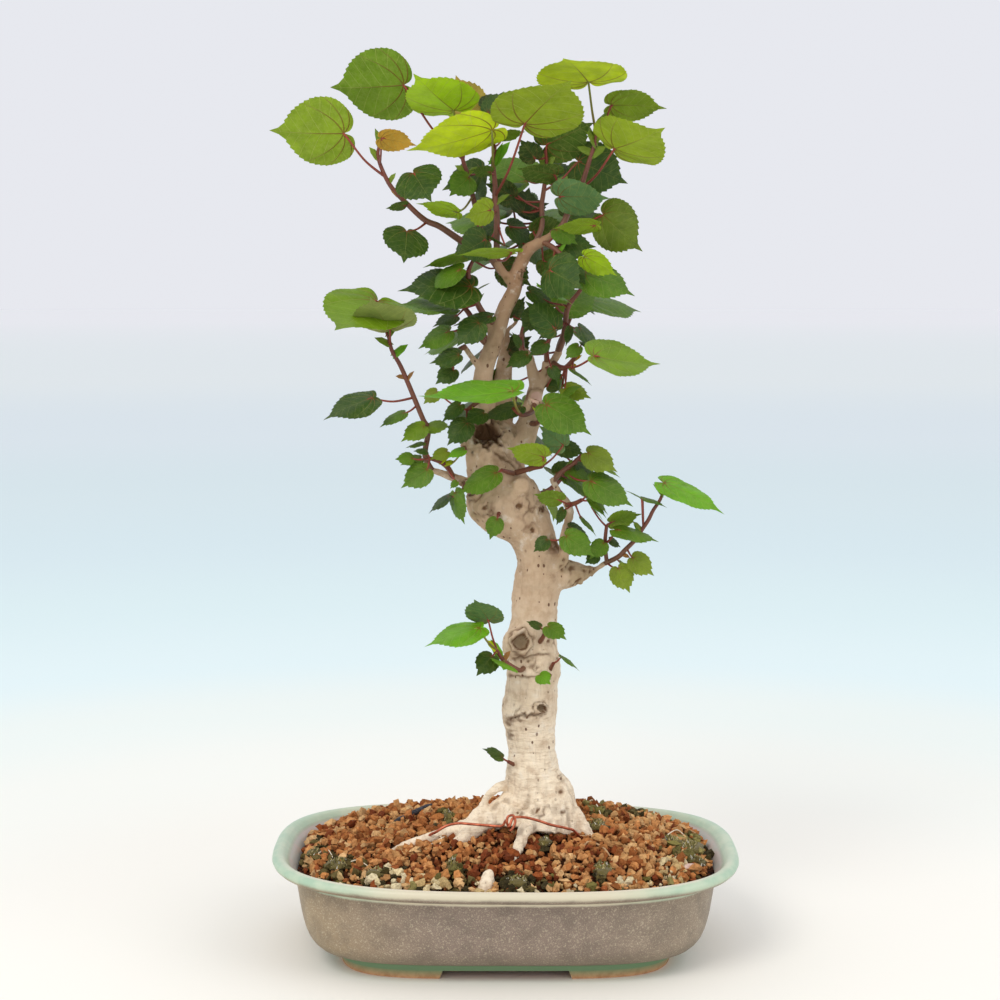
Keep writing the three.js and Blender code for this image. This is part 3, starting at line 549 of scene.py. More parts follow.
def drainHoles():
    bm = bmesh.new()
    for side in (-1, 1):
        middle = Matrix.Translation((side * potShape["holeAcross"], 0, potShape["holeMiddle"]))
        bmesh.ops.create_cone(bm, cap_ends=True, segments=40, radius1=potShape["holeRadius"],
                              radius2=potShape["holeRadius"], depth=potShape["holeLength"], matrix=middle)
    return linked("holes", meshFrom(bm, "holes"))


def carved(bm, *tools):
    # bm less some blocks, which go away
    def setModifiers(holder):
        for tool in tools:
            cut = holder.modifiers.new(tool.name, "BOOLEAN")
            cut.operation = "DIFFERENCE"
            cut.solver = "EXACT"
            cut.object = tool

    done = applied(bm, setModifiers)
    for tool in tools:
        bpy.data.objects.remove(tool)
    return done


def potZones(x, y, z, normal):
    # bare clay, rolled lip, crest of the lip where the highlight is painted, and inner wall, each from 0 to 1
    height = z - firingRise(x, z)
    inset = insetAt(x, y, height)
    wallInset, wallHeight = potShape["innerWall"]
    inner = height > wallHeight and inset > wallInset and normal.x * x + normal.y * y < 0
    underInset, underHeight = potShape["bareUnderside"]
    bare = height < potShape["bareFoot"] or (height < underHeight and inset > underInset)
    lip = float(height > potShape["insideTop"])
    if inset < wallInset and not inner:
        lip = smoothStep(*potShape["lipRise"], height)
    if inset > potShape["lipTop"][0] and height > potShape["lipTop"][1]:
        lip = 1.0
    crest = smoothStep(*potShape["crestInset"], inset) * smoothStep(*potShape["crestRise"], height)
    return float(bare), lip, crest, float(inner)


def makePot(material):
    # the foot ring is a closed ring of its own, so that the gaps cut only it
    outer, inner, overlap = potShape["footOutside"], potShape["footInside"], potShape["footOverlap"]
    top = potShape["footHeight"] + overlap
    foot = closedRings([[inner, top], [inner, 0.5], [inner - 0.5, 0], [outer + 0.6, 0], [outer, 0.6],
                        [outer - 1.2, top], [inner, top]])
    foot = carved(foot, *[footGap(*row) for row in potShape["footGaps"]])
    bm = carved(closedRings(potShape["profile"]), drainHoles())
    takeIn(bm, foot)
    zones = bm.verts.layers.float_color.new("zones")
    bm.normal_update()
    for vert in bm.verts:
        vert[zones] = potZones(*vert.co, vert.normal)
    finishPiece("glazedPot", bm, [material], ["pot"], sharpFrom=potShape["sharpFrom"])
    print("pot made")


def glazeFinish():
    material = newMaterial("speckled glaze")
    place = objectPlace()
    x, y, z = axes(place)
    side = calc("ABSOLUTE", x)
    zones, inner = ownColour("zones")
    bare, lip, crest = channels(zones)
    outside = minus(1, inner)
    cloud = grain(place, 16, 4)
    mid = grain(place, 70, 3)
    fine = grain(place, 950, 2)
    tiny = grain(place, 2300, 1)
    # body: brown to the left, mauve in the middle, with pale speckles and dark pits; browner low down
    body = coats(potShape["bodyBrown"],
                 (plus(x, times(cloud, 0.05)), -0.11, 0.0, 1, potShape["bodyMauve"]),
                 (x, 0.02, 0.12, 1, potShape["body"]),
                 (fine, 0.53, 0.72, 0.7, potShape["speckle"]),
                 (tiny, 0.56, 0.75, 0.5, potShape["smallSpeckle"]),
                 (mid, 0.6, 0.35, 0.3, potShape["pits"]),
                 (z, 0.022, 0.011, 0.4, potShape["bodyLow"]))
    # lip: celadon, with a painted highlight in cream along its crest, strongest at the front and weaker at
    # the ends
    celadon = coats(potShape["celadon"], (mid, 0.38, 0.66, 1, potShape["celadonLight"]))
    celadon = blend(ramp(side, 0.05, 0.11), potShape["celadonWarm"], celadon)
    celadon = coats(celadon, (fine, 0.6, 0.75, 0.3, potShape["lipSpeckle"]))
    crestHighlight = times(ramp(y, 0.03, -0.05, 0.3, 1), ramp(side, 0.1, 0.134, 1, 0.3))
    crestHighlight = times(crestHighlight, ramp(cloud, 0.2, 0.75, 0.55, 0.95))
    celadon = blend(times(crest, crestHighlight), celadon, potShape["cream"])
    wall = coats(potShape["inside"], (mid, 0.35, 0.65, 1, potShape["insideGrey"]))
    colour = blend(inner, body, wall)
    soft = plus(lip, times(minus(mid, 0.5), 0.5))
    colour = blend(times(ramp(soft, 0.3, 0.9), outside), colour, celadon)
    # band above the feet, with a dark pooled line at its top
    pooled = calc("ABSOLUTE", minus(z, 0.0098))
    colour = coats(colour, (z, 0.0106, 0.0098, 1, potShape["band"]),
                   (pooled, 0.0016, 0.0005, 0.85, potShape["pooled"]))
    clay = coats(potShape["clay"], (grain(place, 240, 4), 0.35, 0.7, 1, potShape["clayBrown"]),
                 (z, 0.0046, 0.0056, 1, potShape["under"]))
    colour = blend(bare, colour, clay)
    # a few white dots of spilt glaze
    spots = cells(place, 60)
    chance = channels(spots["Color"])[0]
    spot = times(ramp(spots["Distance"], 0.06, 0.04), ramp(chance, 0.9, 0.93))
    colour = blend(times(spot, outside), colour, potShape["spilt"])
    dull = plus(plus(0.42, times(fine, 0.16)), times(bare, 0.35))
    dull = minus(dull, times(lip, 0.14))
    height = plus(times(fine, 0.6), times(mid, 0.8))
    surface(coated(colour, dull, bump(height, 0.0004, 0.5), gloss=0.4))
    return material


makePot(glazeFinish())

# The grown wood: across, up, depth and radius of the trunk and of each limb and root
trunkRings = [
    [20, 88, -4, 28], [22, 101, 0, 26], [24, 108, 0, 22.6], [23, 114, 0, 19.4], [20, 122, 0, 16.6],
    [19, 138, 0, 14], [18, 156, 0, 15.8], [18, 167, 0, 16], [19.5, 179, 0, 15.2], [20.5, 189, 0, 16.2],
    [19, 204, 0, 15.4], [20.4, 217, 0, 13.8], [21, 229, 0, 13.8], [23.4, 240, 0, 14.6], [24, 252, 0, 13.6],
    [21.3, 261, 0, 13], [17.4, 270, 0, 14.4], [10.2, 279, 0, 18.4], [1.2, 290, 0, 21.8], [-1.5, 300, 0, 17.6],
    [-3, 310, 0, 16.6], [-3.6, 327, 1, 16.4], [-5.5, 336, 2, 9.5],
]
branches = {
    "front": [[-7, 330, -2, 9], [-10, 350, -7, 6.2], [-9.6, 365, -9, 5.6], [-3, 384, -9, 5],
    [2.4, 402, -9, 4.6], [8.4, 414, -9, 4.3], [9.6, 423, -9, 4.2], [13, 431, -8, 4], [18, 439, -8, 3.4],
    [29, 445, -8, 2.6], [33, 449, -8, 1.9]],
    "frontFork": [[8, 417, -9, 3.2], [3, 423, -10, 2.7], [-2, 431, -10, 2.5], [-2, 436, -10, 2.1]],
    "frontTwig": [[-8, 363, -9, 2.6], [-15, 371, -12, 2], [-22, 381, -16, 1.6]],
    "frontSpur": [[-4, 386, -9, 3], [-8, 397, -10, 2.2]],
    "back": [[0, 326, 6, 8.5], [1, 342, 10, 6.6], [1.5, 357, 12, 5.6], [3, 372, 13, 4.2], [3.6, 384, 14, 3.1],
    [4.8, 390, 14, 1.7], [10, 395, 13, 1.4], [9, 401, 13, 1.1]],
    "right": [[12, 324, 6, 7], [18, 340, 8, 5.4], [22, 355, 8, 4.5], [27, 361, 8, 3.6], [31, 369, 8, 3],
    [36, 378, 8, 2.4]],
    "rightFork": [[22, 354, 8, 4], [19, 367, 6, 3.3], [17, 375, 4, 2.8], [12, 379, 2, 2.2]],
    "rightSpur": [[26, 360, 8, 2.6], [27, 372, 7, 1.8]],
    "stump": [[12, 318, -4, 8], [16, 330, -6, 6.6], [19, 339, -7, 5.6], [22, 348, -7, 5]],
    "shoulder": [[28, 243, 0, 11], [40, 243.4, -1, 9], [47, 244.2, -1, 7], [52, 245, -2, 4.8],
    [56, 246, -3, 2.8]],
    "shoulderTwig": [[50, 243, -2, 3], [55, 245, -3, 2.2], [60, 248, -4, 1.8], [64, 251, -5, 1.5]],
    "lowerRight": [[30, 248, -8, 5], [38, 253, -11, 3.4], [38, 264, -13, 2.8], [41, 276, -14, 2.6],
    [42, 281, -14, 2.4], [39, 288, -14, 2.2], [34, 295, -14, 1.9], [31, 301, -14, 1.5]],
    "left": [[-9, 296, -4, 6], [-17, 297, -6, 3.8], [-27, 301, -8, 2.7], [-41, 306, -10, 2]],
    "burl": [[-10, 318, -7, 10], [-17, 325, -8, 7.5], [-20, 328, -8, 5]],
    "knot": [[12, 296, -12, 7], [13, 297, -20, 4.4]],
    "scarSwelling": [[12, 201, -4, 12], [12.5, 202, -14, 9.4], [13, 202, -18, 6]],
    "lowSwelling": [[16, 160, -6, 10], [19, 161, -15, 6.6], [20, 161, -17.5, 4]],
}
roots = {
    "left": [[8, 103, -4, 12], [-4, 97, -12, 8.5], [-20, 91, -18, 5], [-38, 86, -22, 3.8], [-52, 82, -26, 3],
    [-62, 78, -28, 2.4], [-72, 72, -30, 1.8]],
    "leftLump": [[-6, 97, -14, 7], [-20, 86.5, -25, 4.4], [-33, 75, -33, 2.8]],
    "arch": [[6, 117, -2, 3], [1, 116, -6, 2.6], [-6, 112, -10, 2.2], [-11, 104, -12, 2.1],
    [-17, 98, -14, 2.2], [-22, 90, -16, 2.4]],
    "front": [[22, 101, -14, 8], [19, 94, -26, 5.4], [14, 89, -34, 4.5], [11, 79, -41, 3.6],
    [7, 69, -50, 2.6], [-1, 60, -62, 2.6], [-9, 53, -75, 3.2]],
    "frontEnd": [[-6, 66.5, -68, 1.2], [-6.5, 64.5, -68.5, 2.4], [-7.5, 60, -70, 3.3], [-8.5, 56, -73, 3.6],
    [-10.5, 51, -77, 3.2]],
    "right": [[36, 104, -2, 10], [45, 97, -8, 6], [51, 89, -12, 4], [60, 80, -16, 3.2], [72, 73, -20, 2.4]],
    "back": [[20, 104, 8, 12], [16, 100, 26, 6], [12, 92, 42, 4], [8, 84, 58, 2.6]],
    "backRight": [[32, 104, 6, 11], [46, 98, 24, 5], [62, 88, 40, 3.4], [76, 78, 48, 2.2]],
    "backLeft": [[8, 104, 8, 10], [-10, 98, 24, 5], [-28, 88, 36, 3.4], [-44, 80, 44, 2.2]],
}
barkShape = {
    "trunkSides": 28,
    "limbSides": 14,
    "trunkStep": 4,
    "limbStep": 2.5,
    "voxel": 0.85,
    "smoothing": 4,
    # swellings all over: size, height; they are weaker on the thin limbs
    "lumps": [[17, 1.5], [6.5, 0.55], [2.6, 0.4]],
    "thinShare": 0.45,
    "wrinkleHeight": 0.32,
    "furrowDepth": 2.6,
    "furrowShade": 0.34,
    "cream": (243, 225, 198),
    "tan": (194, 165, 136),
    "pink": (158, 122, 94),
    "patch": (172, 140, 110),
    "smudge": (126, 96, 70),
    "bleached": (238, 228, 212),
    "fibre": (160, 132, 106),
    "line": (186, 160, 130),
    "pore": (98, 66, 48),
    "fresh": (214, 176, 160),
    # dark of scars and knots, and of the painted shade in furrows, fold creases, cracks and the hollow
    "dark": (98, 68, 44),
    "moss": (122, 108, 68),
    # how far the edge of a scar wanders
    "ragged": {"hollow": 0.75, "knot": 0.6, "callus": 0.22},
    "raggedElse": 0.16,
    # scars on the front: across, up, radius, kind
    "scars": [
        [12.6, 202.6, 5.4, "callus"], [24.4, 162.8, 3.0, "callus"], [14, 160, 3.2, "knot"],
        [-16.8, 294, 4.6, "callus"], [-9.6, 283, 3.6, "knot"], [12, 284.4, 5, "knot"], [26.4, 283, 4, "knot"],
        [19.2, 270, 3, "knot"], [33, 261, 6, "stain"], [14, 312, 3.2, "knot"], [13.8, 423, 2.3, "callus"],
        [37.2, 121.2, 1.8, "knot"], [21.6, 349.5, 3.8, "cut"], [10.2, 101, 2.4, "knot"],
        [22.4, 103, 3.6, "knot"], [29.5, 203, 2.6, "knot"], [17, 191, 2.4, "knot"], [22.5, 187, 2, "knot"],
        [35, 193, 2.6, "knot"], [-7.8, 328.8, 9.4, "hollow"], [-19, 322, 8, "rough"], [-13, 334, 6, "rough"],
        [30, 290, 3.4, "rough"], [31, 262, 5, "rough"], [-15, 278, 3.5, "rough"], [-8, 268, 3, "rough"],
        [50, 240, 9, "rough"], [40, 249, 5, "rough"], [4.8, 147, 3.6, "stain"], [6, 156, 3.4, "stain"],
        [37, 113, 1.6, "stain"], [38, 101, 1.8, "stain"], [3, 420, 2.5, "rough"], [28, 365, 3, "rough"],
    ],
    # folds in the bark: across, up at its ends, then depth
    "folds": [
        [3, 156.5, 28, 160.5, 1.7], [4, 192, 32, 196, 0.8], [2, 183, 30, 181, 0.5], [-6, 318, 12, 306, 0.8],
    ],
}


def scarMarks(kind, size, away, place, turned, face, ripple):
    # what one scar does at a place: push, dark, freshly cut and mossy. The dark is partly painted shade, in
    # sunken and grooved places
    share = away / size
    ring = bell(share, 1, 0.22)
    inside = smoothStep(0.95, 0.6, share)
    groove = bell(share, 1.42, 0.14)
    if kind == "callus":
        # the dark in the sunken middle and the grooves of a callus is painted shade
        dark = max(0.4 * inside + 0.6 * groove, 0.95 * bell(share, 0.8, 0.12))
        return face * (2.1 * ring - 2.2 * inside - 0.9 * groove), face * dark, 0, face * inside * 0.9
    if kind == "knot":
        arc = smoothStep(-0.3, 0.9, math.cos(turned - 5 * size) + 0.6 * noise.noise(place / 2.4))
        eyeSpot = smoothStep(0.62, 0.2, share + 0.25 * noise.noise(place / 1.4))
        dark = max(0.85 * eyeSpot, 0.6 * arc * bell(share, 1.3, 0.3))
        return face * (0.8 * ring - 0.9 * inside), face * dark, 0, 0
    if kind == "hollow":
        # the hollow is pushed in and painted dark inside as shade
        push = 1.5 * ring - 10 * (1 - min(share, 1) ** 2) ** 1.3
        return face * push, face * smoothStep(1.1, 0.5, share) * 1.3, 0, 0
    if kind == "rough":
        crack = noise.noise(Vector((place.x / 2.2, place.y / 2.2, place.z / 4.2)))
        near = smoothStep(1.3, 0.6, share)
        # the dark in the pushed-in cracks is painted shade
        return (face * near * 1.5 * crack, 0.8 * face * near * smoothStep(0, 0.5, -crack), 0,
                face * 0.6 * smoothStep(1.4, 0.5, share))
    if kind == "cut":
        return 0, face * groove * 0.6, face * smoothStep(1.1, 0.8, share), 0
    return 0, face * 0.8 * smoothStep(1.2, 0.3, share + 0.5 * ripple), 0, 0


def foldMarks(row, across, up, place):
    # push and dark of a fold; the dark along its crease is painted shadow
    x0, y0, x1, y1, depth = row
    if not x0 < across < x1:
        return 0, 0
    off = up - y0 - (y1 - y0) * (across - x0) / (x1 - x0) - 1.6 * noise.noise(place / 4)
    ends = smoothStep(0, 4, min(across - x0, x1 - across))
    return ends * depth * (bell(off, 1.6, 1.3) - 1.2 * bell(off, 0, 0.7)), ends * 0.7 * bell(off, 0, 0.9)


def barkAt(place, out):
    # how far the bark is pushed out at a place, and its marks: dark, which is partly painted shade, freshly
    # cut, mossy
    across, up = sheetOf(place)
    push = sum(height * noise.noise(place / size) for size, height in barkShape["lumps"])
    if abs(across - 15) >= 40 or up >= 345:
        push *= barkShape["thinShare"]
    # wrinkles round the lower trunk
    ripple = noise.noise(Vector((place.x / 11, place.y / 11, place.z / 1.7)))
    push += barkShape["wrinkleHeight"] * ripple * smoothStep(205, 150, up) * smoothStep(70, 100, up)
    # furrows run down the root flare, with painted shade in them
    flare = smoothStep(126, 104, up) * smoothStep(-12, -4, across)
    furrow = abs(noise.noise(Vector((place.x / 5.5, place.y / 5.5, place.z / 34))))
    push -= barkShape["furrowDepth"] * flare * furrow
    dark, cut, moss = barkShape["furrowShade"] * flare * smoothStep(0.22, 0.5, furrow), 0.0, 0.0
    facing = out.dot((eye - place).normalized())
    if facing <= 0.05:
        return push, (min(dark, 1), cut, moss, 1)
    face = smoothStep(0.05, 0.4, facing)
    for x, y, size, kind in barkShape["scars"]:
        if abs(across - x) > 2.4 * size or abs(up - y) > 2.4 * size:
            continue
        ragged = barkShape["ragged"].get(kind, barkShape["raggedElse"])
        away = math.hypot(across - x, up - y) * (1 + ragged * noise.noise(place / 3.1))
        marks = scarMarks(kind, size, away, place, math.atan2(up - y, across - x), face, ripple)
        push += marks[0]
        dark, cut, moss = max(dark, marks[1]), max(cut, marks[2]), max(moss, marks[3])
    for row in barkShape["folds"]:
        height, shadow = foldMarks(row, across, up, place)
        push += face * height
        dark = max(dark, face * shadow)
    return push, (min(dark, 1), cut, moss, 1)


def makeWood(material):
    bm = bmesh.new()
    addTube(bm, drawnPath(trunkRings, barkShape["trunkStep"]), barkShape["trunkSides"])
    for rows in [*branches.values(), *roots.values()]:
        addTube(bm, drawnPath(rows, barkShape["limbStep"]), barkShape["limbSides"])

    def setModifiers(holder):
        skin = holder.modifiers.new("skin", "REMESH")
        skin.mode = "VOXEL"
        skin.voxel_size = barkShape["voxel"]

    bm = applied(bm, setModifiers)
    for turn in range(barkShape["smoothing"]):
        bmesh.ops.smooth_vert(bm, verts=bm.verts, factor=0.5, use_axis_x=True, use_axis_y=True,
                              use_axis_z=True)
    bm.normal_update()
    marksAndShade = bm.verts.layers.float_color.new("marksAndShade")
    moves = []
    for vert in bm.verts:
        push, vert[marksAndShade] = barkAt(vert.co, vert.normal)
        moves.append(push)
    for vert, push in zip(bm.verts, moves):
        vert.co += vert.normal * push
    tree = BVHTree.FromBMesh(bm)
    piece = finishPiece("grownWood", bm, [material], ["trunk"])
    print("wood made,", len(piece.data.polygons), "faces")
    return tree


def barkFinish():
    material = newMaterial("pale bark")
    place = objectPlace()
    z = axes(place)[2]
    dark, cut, moss = channels(ownColour("marksAndShade")[0])
    cloud = grain(place, 38, 4)
    patch = grain(place, 130, 4)
    fibre = grain(stretched(place, (1, 1, 0.22)), 420, 4)
    wrinkle = grain(stretched(place, (1, 1, 5.5)), 150, 4)
    pores = grain(place, 1500, 2)
    up = plus(z, times(minus(cloud, 0.5), 0.09))
    colour = coats(barkShape["cream"], (up, 0.10, 0.24, 1, barkShape["tan"]),
                   (up, 0.31, 0.41, 1, barkShape["pink"]), (patch, 0.45, 0.75, 0.6, barkShape["patch"]))
    smudge = times(ramp(grain(place, 62, 5), 0.54, 0.72), ramp(z, 0.16, 0.26))
    colour = blend(times(smudge, 0.7), colour, barkShape["smudge"])
    colour = coats(colour, (patch, 0.45, 0.25, 0.5, barkShape["bleached"]),
                   (fibre, 0.5, 0.74, 0.4, barkShape["fibre"]))
    low = ramp(z, 0.19, 0.13)
    lines = times(ramp(wrinkle, 0.56, 0.68), low)
    colour = blend(times(lines, 0.5), colour, barkShape["line"])
    # dark breathing pores, a few in each square centimetre, in rough upright rows
    spots = cells(stretched(place, (1, 1, 0.62)), 300)
    chosen, larger = channels(spots["Color"])[:2]
    size = plus(0.06, times(larger, 0.16))
    dot = times(ramp(minus(spots["Distance"], size), 0.035, -0.01), ramp(chosen, 0.45, 0.55))
    dot = times(dot, plus(0.35, times(ramp(z, 0.085, 0.13), 0.65)))
    colour = blend(times(dot, 0.9), colour, barkShape["pore"])
    colour = blend(times(moss, 0.55), colour, barkShape["moss"])
    colour = blend(cut, colour, barkShape["fresh"])
    # dark scars and knots, with the painted shade of furrows, folds, cracks and the hollow
    scar = times(times(dark, ramp(patch, 0.15, 0.5)), 1.15)
    colour = blend(calc("MINIMUM", scar, 0.96), colour, barkShape["dark"])
    height = plus(times(wrinkle, plus(0.25, low)), times(fibre, 0.5))
    height = minus(plus(height, times(pores, 0.2)), times(dot, 0.4))
    surface(coated(colour, 0.82, bump(height, 0.0009, 0.8), gloss=0.25))
    return material


woodTree = makeWood(barkFinish())

# Soil, granules, moss and what lies on them
soilShape = {
    "top": 77,
    "edge": 54.5,
    "inset": 15.6,
    "moundFront": 1.6,
    "moundBack": 2.6,
    # the bed under the granules: inset and height of its rings, and how far below the mound its top is
    "bed": [[104, 14.6], [84, 14.6], [60, 14.5], [35.2, 14.7], [27.4, 22], [20.2, 44], [16.4, 52.8]],
    "bedSides": 96,
    "bedSteps": 14,
    "bedDepth": 1.6,
    "granule": 2.8,
    "granuleSizes": [0.45, 0.7, 0.9, 1.05, 1.25],
    # granules lie in jittered rows over this half length and half depth
    "halfLength": 127,
    "halfDepth": 92,
    "spacing": 4.3,
    "rowShare": 0.87,
    "jitter": 1.3,
    "outTo": 0.985,
    "secondLayer": 0.34,
    "red": [(186, 120, 70), (204, 138, 82), (156, 96, 54), (214, 152, 96)],
    "tan": [(216, 166, 110), (226, 182, 128), (204, 150, 96)],
    "pale": [(232, 212, 164), (240, 224, 182), (216, 186, 130)],
    "wet": [(150, 82, 46), (128, 66, 38), (166, 96, 56)],
    "dark": [(82, 74, 44), (104, 92, 56), (64, 58, 38)],
    "olive": [(130, 122, 68), (152, 142, 88), (112, 106, 62)],
    # clusters seen on the soil: across, up, radius, what, share
    "clusters": [
        [-112, 76, 9, "dark", 0.45], [-98, 68, 10, "dark", 0.6], [-76, 64, 9, "dark", 0.5],
        [-64, 60, 8, "pale", 0.5], [-40, 58, 8, "pale", 0.55], [-28, 67, 6, "olive", 0.7],
        [-26, 61, 8, "dark", 0.45], [-10, 55, 6, "pale", 0.3], [8, 57, 9, "dark", 0.75],
        [20, 57, 7, "dark", 0.6], [-31.8, 97.2, 5, "olive", 0.8], [-36, 93, 5, "dark", 0.5],
        [61.8, 64.2, 6.5, "dark", 0.85], [27, 81.6, 5, "dark", 0.7], [64.8, 99.6, 2.4, "dark", 1],
        [95.4, 78, 2.2, "dark", 1], [103, 101, 7, "olive", 0.6], [118, 99, 6, "pale", 0.5],
        [80, 102, 8, "dark", 0.35], [88, 104, 6, "olive", 0.3], [112, 80, 9, "olive", 0.7],
        [120, 74, 6, "dark", 0.5], [104, 66, 8, "pale", 0.45], [58, 105, 6, "olive", 0.7],
        [-118, 70, 6, "tan", 0.7], [90, 88, 22, "tan", 0.4], [40, 62, 14, "tan", 0.35],
        [-54, 74, 8, "tan", 0.4], [-70, 88, 6, "tan", 0.4],
    ],
    # cushions of moss: across, up, half width, half depth, tufts
    "moss": [
        [114, 78.5, 8.5, 6, 300], [58.8, 106, 7, 4, 130], [104, 102, 7, 4, 120], [-31.8, 97, 4, 3, 60],
        [-28, 66.5, 4.5, 3, 70], [61.8, 64.5, 5.5, 4, 110], [27, 81.5, 4, 2.5, 50], [10, 57, 6, 3, 80],
        [-98, 68, 7, 4, 90], [-74, 63, 6, 3, 60], [118, 70, 5, 3, 60], [-112, 75, 4, 3, 40],
    ],
    "mossGreens": [(134, 124, 58), (106, 98, 48), (160, 146, 84), (200, 184, 132)],
    "mossPale": (226, 222, 206),
    "mossFloor": (108, 96, 54),
    "mossStretch": 1.8,
}


def soilHeight(x, y):
    # the mound, heaped more squarely at the back, and how far out on it a place lies
    power = squareness(soilShape["edge"])
    along = (abs(x) / (potShape["length"] / 2 - soilShape["inset"])) ** power
    across = (abs(y) / (potShape["depth"] / 2 - potShape["frontSteepness"] * soilShape["inset"])) ** power
    out = min((along + across) ** (1 / power), 1)
    spread = soilShape["moundBack"] - soilShape["moundFront"]
    heaped = soilShape["moundFront"] + spread * smoothStep(-20, 30, y)
    mound = soilShape["edge"] + (soilShape["top"] - soilShape["edge"]) * (1 - out ** heaped)
    return mound + 0.8 * math.sin(0.9 * x + 0.4 * y) * math.sin(0.8 * y - 0.3 * x), out


def onSoil(across, up):
    # the place on the soil that shows at a place on the sheet
    for step in range(-104, 100):
        place = seen(across, up, step)
        height, out = soilHeight(place.x, place.y)
        if out < 1 and place.z <= height:
            return Vector((place.x, place.y, height))
    return seen(across, up, 0)


def makeSoilBed(material):
    rings, steps = soilShape["bed"], soilShape["bedSteps"]
    sides = soilShape["bedSides"]

    def place(i, j):
        if i < len(rings):
            return potRing(*rings[i], j, sides)
        share = 1 - (i - len(rings)) / steps
        rim = potRing(soilShape["inset"] + 0.6, 0, j, sides)
        x, y = rim.x * share, rim.y * share
        return Vector((x, y, soilHeight(x, y)[0] - soilShape["bedDepth"]))

    bm = bmesh.new()
    closedSkin(bm, len(rings) + steps, sides, place)
    finishPiece("soilBed", bm, [material], ["soil"])
    print("soil bed made")


def buried(place, room):
    # True inside the wood, or nearer to it than room
    near, out, number, away = woodTree.find_nearest(place)
    return near is not None and ((place - near).dot(out) < 0 or away < room)


def granuleColour(place):
    across, up = sheetOf(place)
    roll = dice.random()
    for x, y, size, kind, share in soilShape["clusters"]:
        if math.hypot(across - x, up - y) < size and dice.random() < share:
            return kind
    front = smoothStep(68, 56, up)
    if roll < 0.2 * front:
        return "pale"
    if roll < 0.42 * front:
        return "dark" if dice.random() < 0.6 else "olive"
    if roll > 0.84 - 0.14 * front:
        return "tan"
    wet = smoothStep(60, 10, math.hypot(across - 14, 1.6 * (up - 76)))
    return "wet" if dice.random() < 0.15 + 0.6 * wet else "red"


def addGranule(bm, base, tint, place, size, seed):
    # a copy of the base granule, coloured, turned and made uneven
    colour = dice.choice(soilShape[granuleColour(place)])
    gain = dice.uniform(0.82, 1.18)
    made = bmesh.ops.duplicate(bm, geom=base)["geom"]
    turn = Matrix.Rotation(dice.uniform(0, fullTurn), 3, Vector((
        dice.uniform(-1, 1), dice.uniform(-1, 1), dice.uniform(-1, 1))).normalized())
    stretch = Vector((dice.uniform(0.8, 1.35), dice.uniform(0.7, 1.1), dice.uniform(0.55, 1)))
    for vert in [part for part in made if isinstance(part, bmesh.types.BMVert)]:
        lump = size * (1 + 0.95 * noise.noise(vert.co * 1.5 + seed))
        vert.co = place + turn @ (vert.co * stretch * lump)
    paint([part for part in made if isinstance(part, bmesh.types.BMFace)], tint, shade(*colour, gain=gain))


def makeGranules(material, batch):
    # a quarter of the granules: each batch fills every fourth place of a jittered lattice
    bm = bmesh.new()
    tint = bm.loops.layers.float_color.new("tint")
    # a small lump with its edges and corners knocked off
    pattern = bmesh.new()
    bmesh.ops.create_cube(pattern, size=1.5)
    bmesh.ops.bevel(pattern, geom=pattern.edges[:] + pattern.verts[:], offset=0.45, segments=1, profile=0.5,
                    affect="EDGES", material=-1)
    takeIn(bm, pattern)
    base = bm.verts[:] + bm.edges[:] + bm.faces[:]
    spacing, jitter = soilShape["spacing"], soilShape["jitter"]
    columns = int(2 * soilShape["halfLength"] / spacing) + 1
    rows = int(2 * soilShape["halfDepth"] / (spacing * soilShape["rowShare"])) + 1
    count = 0
    for row in range(rows):
        y = -soilShape["halfDepth"] + row * spacing * soilShape["rowShare"]
        for column in range(columns):
            if (row * 2 + column) % 4 != batch:
                continue
            x = -soilShape["halfLength"] + (column + 0.5 * (row % 2)) * spacing
            for layer in range(2 if dice.random() < soilShape["secondLayer"] else 1):
                px = x + dice.uniform(-jitter, jitter)
                py = y + dice.uniform(-jitter, jitter)
                height, out = soilHeight(px, py)
                if out > soilShape["outTo"]:
                    continue
                size = soilShape["granule"] * dice.choice(soilShape["granuleSizes"])
                size *= dice.uniform(0.9, 1.15)
                place = Vector((px, py, height - 0.4 + layer * 2 + dice.uniform(-0.5, 0.6)))
                if not buried(place, size * 0.35):
                    addGranule(bm, base, tint, place, size, Vector((px, py, layer * 7)))
                    count += 1
    bmesh.ops.delete(bm, geom=[part for part in base if isinstance(part, bmesh.types.BMVert)],
                     context="VERTS")
    finishPiece(f"soilGranules{batch + 1}", bm, [material], sharpFrom=38)
    print("granules", batch + 1, count)


def addTuft(bm, tint, middle, halfWidth, halfDepth):
    angle = dice.uniform(0, fullTurn)
    out = math.sqrt(dice.random())
    x = middle.x + halfWidth * out * math.cos(angle)
    y = middle.y + halfDepth * soilShape["mossStretch"] * out * math.sin(angle)
    height, edge = soilHeight(x, y)
    if edge > soilShape["outTo"]:
        return
    rise = height + 1.6 + 2.2 * (1 - out ** 2)
    lean = Matrix.Rotation(dice.uniform(-0.6, 0.6), 4, "X") @ Matrix.Rotation(
        dice.uniform(-0.6, 0.6), 4, "Y")
    size = dice.uniform(0.7, 1.3)
    made = bmesh.ops.create_cone(bm, cap_ends=True, segments=5, radius1=0.5 * size, radius2=0.16,
                                 depth=1.7 * size, matrix=Matrix.Translation((x, y, rise)) @ lean)["verts"]
    light = shade(*dice.choice(soilShape["mossGreens"]), gain=dice.uniform(0.8, 1.2))
    if dice.random() < 0.07:
        light = shade(*soilShape["mossPale"])
    paint(facesOf(made), tint, light)


